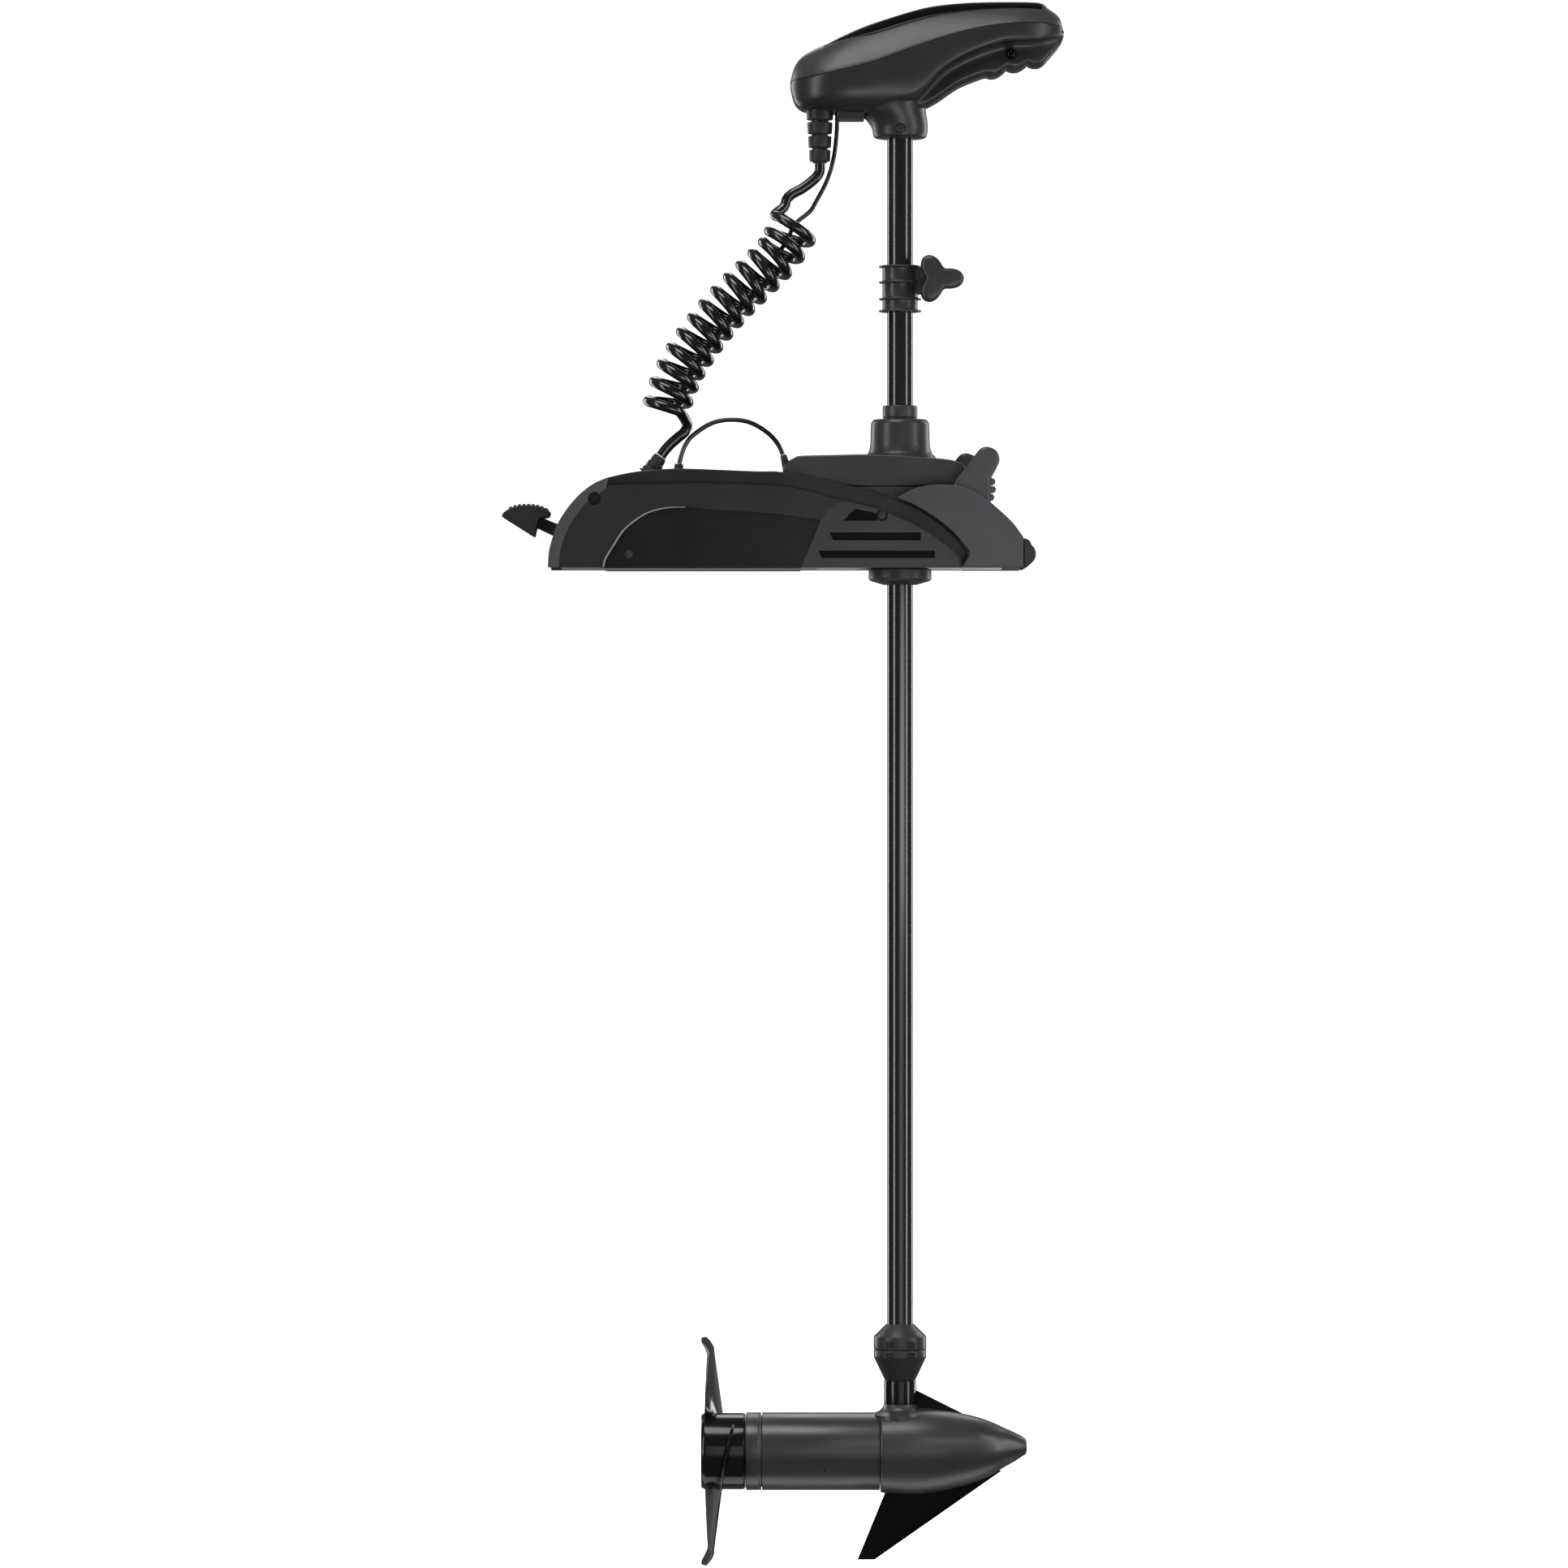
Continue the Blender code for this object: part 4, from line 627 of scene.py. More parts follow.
def head_profile(x):
    """Half a cross-section as three runs of (y, z): the top panel, the upper side and the lower side."""
    top, bottom = TOP_AT(x), BOTTOM_AT(x)
    half = max(head_half_width(x), 0.0012)
    seam = min(SEAM_AT(x), top - 0.35 * (top - bottom))
    crown = top - seam
    along = min(1.0, max(0.0, (x - PANEL_X0) / (PANEL_X1 - PANEL_X0)))
    share = 0.42 + 0.2 * smoothstep(along / 0.25) + 0.06 * along
    gap = SEAM_GAP / half
    panel = [(half * u, top - crown * u**CROWN_POWER) for u in np.linspace(0, share - gap / 2, 10)]
    upper_shares = np.linspace(share + gap / 2, 1, 12)
    upper = [(half * u, top - (crown - SEAM_GAP) * u**CROWN_POWER) for u in upper_shares]
    start = seam - SEAM_GAP
    round_side = []
    for degrees in (0, 12, 25, 36, 44, 52, 59, 66, 72, 78, 83, 87, 90):
        a = math.radians(degrees)
        y = half * max(0.0, math.cos(a)) ** 0.58
        round_side.append((y, start - (start - bottom) * math.sin(a) ** 0.58))
    ridge = min(max(RIDGE_AT(x), bottom + 0.25 * (start - bottom)), start - 0.2 * (start - bottom))
    drop, wall = ridge - bottom, start - ridge
    grip = grip_bump(x)
    ridged = [
        (1.0, start), (1.0, start - 0.35 * wall), (0.985, start - 0.72 * wall), (0.955, ridge + 0.0014),
        (0.9, ridge - 0.0004), (0.76, ridge + 0.01 * drop), (0.6, ridge - 0.06 * drop),
        (0.525, ridge - 0.3 * drop), (0.56, ridge - 0.58 * drop - 0.4 * grip),
        (0.57, ridge - 0.8 * drop - 0.8 * grip), (0.47, bottom + 0.04 * drop - grip), (0.24, bottom - grip),
        (0.0, bottom - grip),
    ]
    ridged = [(half * u, z) for u, z in ridged]
    weight = smoothstep((x - 0.205) / 0.08)
    mixed = [Vector(a) * (1 - weight) + Vector(b) * weight for a, b in zip(round_side, ridged)]
    lower = [tuple(p) for p in smooth_curve(mixed, 3)]
    return panel, upper, lower


def head_stations():
    share = (1 - np.cos(np.linspace(0, math.pi, 110))) / 2
    stations = list(HEAD_X0 + (HEAD_X1 - HEAD_X0) * share)
    stations = [x for x in stations if min(abs(x - PANEL_X0), abs(x - PANEL_X1)) > 0.0015]
    return sorted([*stations, *[x + side * SEAM_GAP / 2 for x in (PANEL_X0, PANEL_X1) for side in (-1, 1)]])


def face_outwards(obj):
    """Turns an open skin's faces so that they look away from its middle."""
    mesh = obj.data
    middle = sum((v.co for v in mesh.vertices), Vector()) / len(mesh.vertices)
    if sum(f.normal.dot(f.center - middle) * f.area for f in mesh.polygons) < 0:
        mesh.flip_normals()


def shell(obj, thickness=0.002, edge=0.0005):
    face_outwards(obj)
    solid = obj.modifiers.new("Solidify", "SOLIDIFY")
    solid.thickness = thickness
    solid.offset = -1
    apply_modifiers(obj)
    add_bevel(obj, edge, 2, 60)
    apply_modifiers(obj)
    shade(obj, 50)
    return obj


def both_sides(run):
    """Half a section, from the middle outwards, made whole from side to side."""
    return [(-y, z) for y, z in run[::-1]] + run[1:]


def skin_over(name, stations, sections, skipped=lambda x, column: False, ends=False):
    """An open skin over cross-sections of (y, z), without the faces that are skipped."""
    bm = bmesh.new()
    rows = [[bm.verts.new((x, y, z)) for y, z in section] for x, section in zip(stations, sections)]
    for i, (a, b) in enumerate(zip(rows, rows[1:])):
        for j in range(len(a) - 1):
            if not skipped((stations[i] + stations[i + 1]) / 2, j):
                bm.faces.new((a[j], b[j], b[j + 1], a[j + 1]))
    if ends:
        bm.faces.new(rows[0])
        bm.faces.new(rows[-1])
    bmesh.ops.delete(bm, geom=[v for v in bm.verts if not v.link_faces], context="VERTS")
    return from_bmesh(name, bm)


def steering_head():
    """The lower shell, the upper shell round the gloss panel, the shaft boss and the small parts."""
    stations = head_stations()
    profiles = [head_profile(x) for x in stations]
    sections = [both_sides(side[::-1]) for _, _, side in profiles]
    lower = shell(skin_over("head_lower_shell", stations, sections, ends=True))
    for vertex in lower.data.vertices:
        vertex.co.x = min(vertex.co.x, HEAD_X1)
    place(lower, "shaft", HEAD_LOWER, ("head_lower_housing",))

    sections = [both_sides(panel + upper) for panel, upper, _ in profiles]
    centre = len(sections[0]) // 2
    panel_columns = len(profiles[0][0])

    def under_panel(x, column):
        from_centre = min(abs(column - centre), abs(column + 1 - centre))
        return from_centre < panel_columns and PANEL_X0 - SEAM_GAP < x < PANEL_X1 + SEAM_GAP

    upper_shell = shell(skin_over("head_upper_shell", stations, sections, under_panel, ends=True))
    place(upper_shell, "shaft", HEAD_UPPER, ("head_upper_cover",))
    inside = [i for i, x in enumerate(stations) if PANEL_X0 < x < PANEL_X1]
    proud = [both_sides([(y, z + 0.0004) for y, z in profiles[i][0]]) for i in inside]
    panel = shell(skin_over("head_gloss_panel", [stations[i] for i in inside], proud), 0.0022, 0.0006)
    place(panel, "shaft", PANEL, ("head_top_panel",))

    boss_rings = [
        (0.54, 0.042, -0.012), (0.531, 0.04, -0.01), (0.525, 0.0378, -0.007), (0.519, 0.0352, -0.0035),
        (0.513, 0.0332, -0.001), (0.508, 0.0322, 0.0), (0.503, 0.0314, 0.0), (0.4998, 0.03, 0.0),
        (0.4984, 0.0275, 0.0), (0.498, 0.024, 0.0),
    ]
    angles = np.linspace(0, 2 * math.pi, 96, endpoint=False)
    rings = []
    for z, radius, shift in smooth_curve(boss_rings, 4):
        rings.append([(SHAFT_X + shift + radius * math.cos(a), radius * math.sin(a), z) for a in angles])
    boss = loft("head_shaft_boss", rings)
    boolean(boss, [rod("boss_bore", (SHAFT_X, 0, 0.49), (SHAFT_X, 0, 0.545), 0.016, 96)])
    boolean(boss, [rod("boss_screw_seat", (SHAFT_X, -0.045, 0.508), (SHAFT_X, -0.029, 0.508), 0.0058)])
    place(boss, "shaft", HEAD_LOWER, smooth=40)
    screw = rod("head_screw_face", (SHAFT_X, -0.029, 0.508), (SHAFT_X, -0.0318, 0.508), 0.005, 48, 0.0012)
    socket = prism("screw_socket", arc((SHAFT_X, 0.508), 0.0026, 0, 300, 5), -0.04, -0.0306)
    shade(boolean(screw, [socket]), 40)
    place(screw, "shaft", BLACK, ("head_clamp_screw",))

    plate = prism("head_cable_plate", fillet([(0.153, 0.53), (0.153, 0.519), (0.185, 0.519), (0.185, 0.53)],
                                             0.002), -0.026, 0.018)
    place(bevel(plate, 0.001), "shaft", BLACK)
    button = turned("head_grip_button", fillet([
        (0.0, -0.0372), (0.003, -0.0368), (0.0062, -0.0345), (0.0066, -0.026), (0.0, -0.026),
    ], 0.0012, 3, False), (0.3544, 0, 0.5935), "Y", 48, False)
    place(button, "shaft", PANEL, smooth=40)


def strain_relief():
    """A tapering boot of spaced rings; bridges between the rings stand at alternate sides."""
    core = turned("strain_relief_boot", [(0.011, 0.533), (0.0082, 0.469), (0.0058, 0.469), (0.0058, 0.533)],
                  (RELIEF_X, RELIEF_Y, 0), "Z", 48)
    rings, height, gap = 4, 0.0132, 0.0028
    extra = []
    for i in range(rings):
        high = 0.532 - i * (height + gap)
        outer_high, outer_low = 0.0158 - 0.0011 * i, 0.0152 - 0.0011 * i
        low = high - height
        profile = [(outer_high, high), (outer_low, low), (0.0068, low), (0.0068, high)]
        extra.append(turned(f"relief_ring_{i}", fillet(profile, 0.0011, 3), (RELIEF_X, RELIEF_Y, 0), "Z", 64))
        if i:
            for turn in (90 * (i % 2), 90 * (i % 2) + 180):
                a = math.radians(turn + 45)
                x, y = RELIEF_X + 0.0098 * math.cos(a), RELIEF_Y + 0.0098 * math.sin(a)
                centre, half = Vector((x, y, high + gap / 2)), Vector((0.0022, 0.0022, 0.0025))
                extra.append(box(f"relief_bridge_{i}_{turn}", centre - half, centre + half))
    boot = join(core, *extra)
    place(boot, "shaft", RUBBER, ("strain_relief",), smooth=40)


# Shaft, depth collar and knob: the knob's rounded edge as (y, size)
KNOB_LAYERS = [
    (-0.0213, 0.82), (-0.0218, 0.9), (-0.0232, 0.965), (-0.0255, 1.0), (-0.031, 1.0), (-0.0332, 0.97),
    (-0.0348, 0.9), (-0.0357, 0.78), (-0.0361, 0.6),
]


def shaft():
    profile = [(SHAFT_R, SHAFT_TOP), (SHAFT_R, SHAFT_BOTTOM), (0.0125, SHAFT_BOTTOM), (0.0125, SHAFT_TOP)]
    tube = turned("shaft_composite_tube", profile, segments=160)
    place(tube, "shaft", SHAFT, ("shaft_tube",), smooth=40)


def depth_collar():
    """A split collar with four ribs and clamp ears, and the three-lobed knob that tightens it."""
    body, rib, inner = 0.0205, 0.0247, SHAFT_R + 0.0003
    outer = []
    for z in (0.35, 0.3318, 0.3125, 0.2985):
        outer += [
            (body, min(z + 0.0016, COLLAR_Z1)), (rib - 0.0006, z + 0.0011), (rib, z),
            (rib - 0.0006, z - 0.0011), (body, max(z - 0.0016, COLLAR_Z0)),
        ]
    profile = [*outer, (inner, COLLAR_Z0), (inner, COLLAR_Z1)]
    collar = turned("depth_collar_body", fillet(profile, 0.0005, 2))
    ear_outline = [(0.242, 0.317), (0.242, 0.35), (0.274, 0.347), (0.283, 0.3346), (0.274, 0.322)]
    ear = bevel(prism("collar_ear", fillet(ear_outline, 0.006, 5), -0.0125, 0.0125), 0.0015)
    boolean(collar, [ear], "UNION")
    boolean(collar, [box("collar_slit", (0.238, -0.001, 0.29), (0.29, 0.001, 0.36))])
    place(collar, "depth_collar", BLACK, ("depth_collar",), smooth=35)

    layers = []
    for y, scale in KNOB_LAYERS:
        ring = []
        for i in range(96):
            a = 2 * math.pi * i / 96
            reach = (0.0222 + 0.0078 * math.cos(3 * a)) * scale
            ring.append((KNOB_X + reach * math.cos(a), y, KNOB_Z + reach * math.sin(a)))
        layers.append(ring)
    knob = loft("depth_knob_wing", layers)
    neck = rod("knob_neck", (KNOB_X, -0.0222, KNOB_Z), (KNOB_X, -0.013, KNOB_Z), 0.01, 48, 0.001)
    stem = rod("knob_stem", (KNOB_X, -0.014, KNOB_Z), (KNOB_X, 0.018, KNOB_Z), 0.003, 32, 0.0008)
    join(knob, neck, stem)
    place(knob, "depth_knob", BLACK, ("depth_knob",), smooth=40)


# The mount's side outlines, in X and Z
FRAME_LEFT = [
    (-0.1795, 0.0), (-0.1785, 0.017), (-0.1743, 0.0338), (-0.168, 0.0507), (-0.1575, 0.0674),
    (-0.1429, 0.0842), (-0.1261, 0.0968), (-0.1092, 0.104),
]
FRAME_TOP = [
    (-0.0777, 0.1105), (-0.0421, 0.1136), (-0.0106, 0.1136), (0.0583, 0.1109), (0.0906, 0.1099),
    (0.1446, 0.0991), (0.1921, 0.0883), (0.2137, 0.0808), (0.2439, 0.0688), (0.2668, 0.0545),
    (0.2848, 0.0397), (0.297, 0.026), (0.3044, 0.0149),
]
RIM_INNER = [
    (-0.1649, 0.0), (-0.164, 0.015), (-0.16, 0.031), (-0.1533, 0.0464), (-0.1387, 0.0674), (-0.1261, 0.08),
    (-0.1124, 0.0905),
]
PLATE_TOP = [
    (-0.1092, 0.0945), (-0.0777, 0.0957), (0.0, 0.0964), (0.0583, 0.0948), (0.1014, 0.0915),
    (0.1446, 0.0807), (0.1965, 0.0688), (0.2137, 0.0623), (0.2482, 0.0473), (0.2741, 0.03), (0.2914, 0.0149),
    (0.2975, 0.005),
]
RECESS_ARCH = [
    (-0.116, -0.001), (-0.113, 0.01), (-0.105, 0.0233), (-0.0925, 0.0423), (-0.0777, 0.0548),
    (-0.0631, 0.0632), (-0.0421, 0.0684), (-0.0211, 0.0691), (0.0103, 0.0664), (0.0754, 0.0622),
    (0.1014, 0.059), (0.134, 0.0548),
]
RECESS_FRONT = [(0.1325, 0.05), (0.123, 0.0278), (0.115, 0.01), (0.111, -0.001)]
FRONT_PANEL = [
    (0.1122, 0.0), (0.116, 0.01), (0.124, 0.0278), (0.135, 0.055), (0.147, 0.069), (0.162, 0.0752),
    (0.196, 0.0672), (0.2127, 0.0608), (0.2474, 0.0457), (0.2728, 0.029), (0.2898, 0.0142), (0.2955, 0.0),
]
SLOTS = [
    [(0.1486, 0.031), (0.1446, 0.0401), (0.2493, 0.0401), (0.2493, 0.031)],
    [(0.1356, 0.0107), (0.1316, 0.0192), (0.2655, 0.0192), (0.2655, 0.0107)],
]
SCREW_AT, RIM_WELL_AT = (0.2046, 0.06), (-0.126, 0.079)
POCKET = [(0.16, 0.0536), (0.1737, 0.0672), (0.199, 0.0622), (0.199, 0.0536)]
RAMP_TOP = [
    (0.231, 0.085), (0.2439, 0.0904), (0.2633, 0.0943), (0.2957, 0.093), (0.3173, 0.0839), (0.3367, 0.0678),
    (0.354, 0.0516), (0.367, 0.0345),
]
RAMP_EDGE = [
    (0.299, 0.0), (0.299, 0.0038), (0.3056, 0.0149), (0.2985, 0.0263), (0.2862, 0.0403), (0.268, 0.0552),
    (0.2445, 0.07), (0.222, 0.08),
]
HORN = [
    (0.2881, 0.08), (0.2881, 0.098), (0.3022, 0.1163), (0.3151, 0.1336), (0.3205, 0.1379), (0.3281, 0.1384),
    (0.3367, 0.1336), (0.34, 0.1239), (0.3367, 0.1142), (0.3302, 0.1012), (0.3307, 0.0883), (0.327, 0.068),
    (0.31, 0.06),
]
HOUSING_TOP = [
    (0.0906, 0.106), (0.0912, 0.116), (0.0971, 0.1228), (0.105, 0.1275), (0.1122, 0.1293), (0.15, 0.1303),
    (0.1878, 0.131), (0.23, 0.1296), (0.2687, 0.1265), (0.2871, 0.1239), (0.2975, 0.119), (0.3, 0.112),
    (0.29, 0.0935),
]


def flat(points, steps=4):
    return [tuple(p)[:2] for p in smooth_curve(points, steps)]


def span(side, low, high):
    """A range of Y on one side of the centre plane."""
    return (side * high, side * low) if side < 0 else (low, high)


def side_frame(label, side):
    outline = [*flat(FRAME_LEFT + FRAME_TOP), (0.2979, 0.004), (0.2979, 0.0)]
    frame_piece = prism(f"side_frame_{label}_panel", outline, *span(side, FRAME_IN, FRAME_OUT + 0.0004))
    place(bevel(frame_piece, 0.0014), "base", FRAME, (f"side_frame_{label}",))


def side_plate(label, side):
    """The outer plate: a sloping rim at the back, an arched recess, a raised front panel, slots and wells."""
    back = [tuple(p) for p in even_curve(FRAME_LEFT, 4, count=27)]
    rim = [tuple(p) for p in even_curve(RIM_INNER, 4, count=27)]
    rest = [*flat(PLATE_TOP), (0.2979, 0.0)]
    levels = ((PLATE_IN, back), (PLATE_OUT - 0.0068, back), (PLATE_OUT, rim))
    layers = [[(x, side * y, z) for x, z in left + rest] for y, left in levels]
    plate = loft(f"side_plate_{label}_cover", layers)
    recess = [*flat(RECESS_ARCH), *flat(RECESS_FRONT)[1:]]
    depth = span(side, PLATE_OUT - 0.0055, PLATE_OUT + 0.01)

    def well(spot, radius):
        x, z = spot
        return rod("well", (x, side * (FRAME_OUT + 0.001), z), (x, side * 0.09, z), radius)

    def openings():
        cutters = [prism("slot", fillet(slot, 0.0012, 3), *depth) for slot in SLOTS]
        return [*cutters, prism("pocket", fillet(POCKET, 0.0015, 3), *depth), well(SCREW_AT, 0.0068)]

    # The sloping back rim gets a lighter flat piece: painted light where the rim faces the light.
    edge_outline = back + rim[::-1]
    edge = prism(f"side_rim_{label}", edge_outline, *span(side, PLATE_OUT - 0.0075, PLATE_OUT - 0.0008))
    rim_x, rim_z = RIM_WELL_AT
    boolean(edge, [rod("well", (rim_x, side * FRAME_OUT, rim_z), (rim_x, side * 0.09, rim_z), 0.0075)])
    place(bevel(edge, 0.0009, 3, 40), "base", RIM)
    # The raised front panel is given the lighter housing plastic: painted light on the raised panel.
    panel_depth = span(side, PLATE_OUT - 0.0006, PLATE_OUT + 0.0005)
    panel = prism(f"side_panel_{label}", flat(FRONT_PANEL, 3), *panel_depth)
    for cutter in openings():
        boolean(panel, [cutter])
    recess_cutter = prism("recess", recess, *span(side, PLATE_OUT - 0.0024, PLATE_OUT + 0.01))
    boolean(plate, [recess_cutter, *openings(), well(RIM_WELL_AT, 0.0075)])
    place(bevel(plate, 0.0006, 2, 28), "base", PLATE, (f"side_plate_{label}",))
    place(bevel(panel, 0.0004, 2, 28), "base", HOUSING)

    # Near-black sheets on the floors of the slots and the pocket: painted shade in the openings.
    floor_depth = span(side, PLATE_OUT - 0.0057, PLATE_OUT - 0.005)
    wells = [prism("well_floor", outline, *floor_depth) for outline in (*SLOTS, POCKET)]
    painted_shade = join(*wells)
    painted_shade.name = f"side_slot_lining_{label}"
    place(painted_shade, "base", FIN, smooth=30)
    # A near-black sheet on the recess floor: painted shade in the recess.
    floor = prism(f"side_recess_shade_{label}", recess, *span(side, PLATE_OUT - 0.0026, PLATE_OUT - 0.0021))
    place(floor, "base", RECESS, smooth=30)
    # A light grey bead along the left of the recess arch, thinning towards the top: a painted highlight on
    # the arch's edge.
    arch = even_curve([(x, side * (PLATE_OUT + 0.0002), z) for x, z in RECESS_ARCH[:8]], 8, spacing=0.0015)
    taper = [0.0011 - 0.0007 * (i / (len(arch) - 1)) ** 2 for i in range(len(arch))]
    arch[:, 2] = np.maximum(arch[:, 2], 0.0006)
    bead = sweep(f"side_arch_painted_highlight_{label}", arch, np.array(taper), 12)
    place(bead, "base", PAINTED_HIGHLIGHT, smooth=60)
    rivet = rod(f"side_rivet_{label}", (LEVER_X, side * (PLATE_OUT - 0.0024), LEVER_Z),
                (LEVER_X, side * (PLATE_OUT - 0.0008), LEVER_Z), 0.0048, 48, 0.001)
    place(rivet, "base", BLACK, smooth=40)
    x, z = SCREW_AT
    cap = rod(f"side_screw_{label}", (x, side * (FRAME_OUT + 0.001), z), (x, side * (FRAME_OUT + 0.003), z),
              0.0056, 48, 0.001)
    place(cap, "base", BLACK, smooth=40)


def motor_ramp(label, side):
    """The ramp that catches the motor, its round guide horn and its rubber tip."""
    outline = [*flat(RAMP_EDGE, 3), *flat(RAMP_TOP, 4)[1:], (0.367, 0.0)]
    ramp = bevel(prism(f"motor_ramp_{label}_shell", outline, *span(side, RAMP_IN, RAMP_OUT)), 0.005, 6, 50)
    shift = 0.0 if side < 0 else -0.0207
    horn_outline = [(x + shift, z - 0.0022 * (side > 0)) for x, z in HORN]
    smooth_horn = flat([*horn_outline, horn_outline[0]], 4)[:-1]
    horn = prism(f"horn_{label}", smooth_horn, *span(side, RAMP_IN + 0.003, RAMP_IN + 0.022))
    bevel(horn, 0.0045, 5, 50)
    teeth = []
    if side < 0:
        for x, z in ((0.3312, 0.0985), (0.3318, 0.0895), (0.33, 0.0805)):
            start, end = (x, -RAMP_IN - 0.005, z), (x, -RAMP_IN - 0.02, z)
            teeth.append(rod("horn_tooth", start, end, 0.004, 32, 0.0012))
    join(ramp, horn, *teeth)
    place(ramp, "base", RAMP, (f"motor_ramp_{label}",))
    nose = arc((0.368, 0.015), 0.0134, 50, -60, 14)
    tip = [(0.3673, 0.0006), (0.3673, 0.0338), (0.374, 0.0308), *nose, (0.37, 0.0006)]
    bumper = prism(f"bow_bumper_{label}_tip", tip, *span(side, RAMP_IN + 0.001, RAMP_OUT - 0.001))
    place(bevel(bumper, 0.003, 5, 50), "base", RUBBER, (f"bow_bumper_{label}",))


def rear_cover():
    """The cover between the frames over the foot lever."""
    top = flat([
        (-0.1745, 0.03), (-0.166, 0.048), (-0.1555, 0.065), (-0.1415, 0.0815), (-0.125, 0.0937),
        (-0.105, 0.102), (-0.0777, 0.1072), (-0.0421, 0.11), (0.0, 0.11),
    ])
    inner = flat([
        (0.0, 0.106), (-0.0421, 0.106), (-0.0777, 0.1032), (-0.1035, 0.0982), (-0.1228, 0.09),
        (-0.1385, 0.0785), (-0.152, 0.0628), (-0.162, 0.0465), (-0.17, 0.03),
    ])
    cover = prism("rear_cover_shell", top + inner, -0.05, 0.05)
    boolean(cover, [box("lever_slot", (-0.19, -0.014, 0.02), (-0.155, 0.014, 0.064))])
    bevel(cover, 0.001)
    walls = []
    foot = [(-0.001, 0.108), (-0.001, 0.02), (-0.15, 0.02), (-0.16, 0.035)]
    for side in (-1, 1):
        wall = [(-0.1722, 0.035), *[(x, z - 0.001) for x, z in top[4:-1]], *foot]
        walls.append(prism(f"cover_wall_{side}", wall, *span(side, 0.047, 0.0497)))
    join(cover, *walls)
    place(cover, "base", FRAME, ("rear_cover",))


def gland(name, x, lean, height, base_r, top_r, node):
    """A rubber gland that leans along its cable, with a foot flange and two ribs."""
    foot = Vector((x, GLAND_Y, 0.1075))
    head = Vector((x + lean, GLAND_Y, 0.1103 + height))
    length = (head - foot).length
    profile = [(0.0, 0.0), (base_r, 0.0), (base_r, 0.0022)]
    for share in (0.0, 0.35, 0.7):
        radius = base_r * 0.84 + (top_r - base_r * 0.84) * share
        start = 0.0022 + (length - 0.0022) * share
        profile += [(radius, start), (radius * 0.97, start + (length - 0.0022) * 0.22),
                    (radius * 0.86, start + (length - 0.0022) * 0.26)]
    profile += [(top_r, length), (0.0, length)]
    piece = turned(name, fillet(profile, 0.0007, 3, False), (0, 0, 0), "Z", 64, False)
    place(aim(piece, foot, head), "base", RUBBER, (node,), smooth=40)


def foot_lever():
    """The pedal arm, and its pad with cross treads on a round top."""
    arm_outline = [
        (-0.196, 0.048), (-0.19, 0.06), (-0.17, 0.052), (-0.14, 0.04), (-0.1, 0.028), (-0.086, 0.0265),
        (-0.077, 0.022), (-0.0745, 0.015), (-0.079, 0.0075), (-0.088, 0.0055), (-0.1, 0.009), (-0.13, 0.02),
        (-0.164, 0.033),
    ]
    arm = bevel(prism("foot_lever_arm", fillet(arm_outline, 0.004, 4), -0.01, 0.01), 0.0015)
    place(arm, "release_lever", BLACK, ("release_lever_arm",))
    top = flat([
        (-0.2341, 0.06), (-0.2318, 0.0642), (-0.2247, 0.069), (-0.2143, 0.0722), (-0.1995, 0.0726),
        (-0.1889, 0.0706), (-0.178, 0.0656),
    ])
    under = [(-0.18, 0.06), (-0.1905, 0.058), (-0.195, 0.044), (-0.1962, 0.0372), (-0.1985, 0.0376)]
    pad = bevel(prism("foot_pedal_pad", [*top, *under], -0.03, 0.03), 0.0022, 4, 40)
    treads = []
    curve = evenly(top, count=60)
    for i in range(14, 58, 5):
        x, z = curve[i]
        treads.append(rod(f"tread_{i}", (x, -0.027, z), (x, 0.027, z), 0.0021, 16, 0.0008))
    place(pad, "release_lever", RUBBER, ("release_lever_pad",))
    # The treads are given the lighter grey: a painted highlight on the pedal's top.
    tread = join(*treads)
    tread.name = "foot_pedal_treads"
    place(tread, "release_lever", RIM, smooth=40)


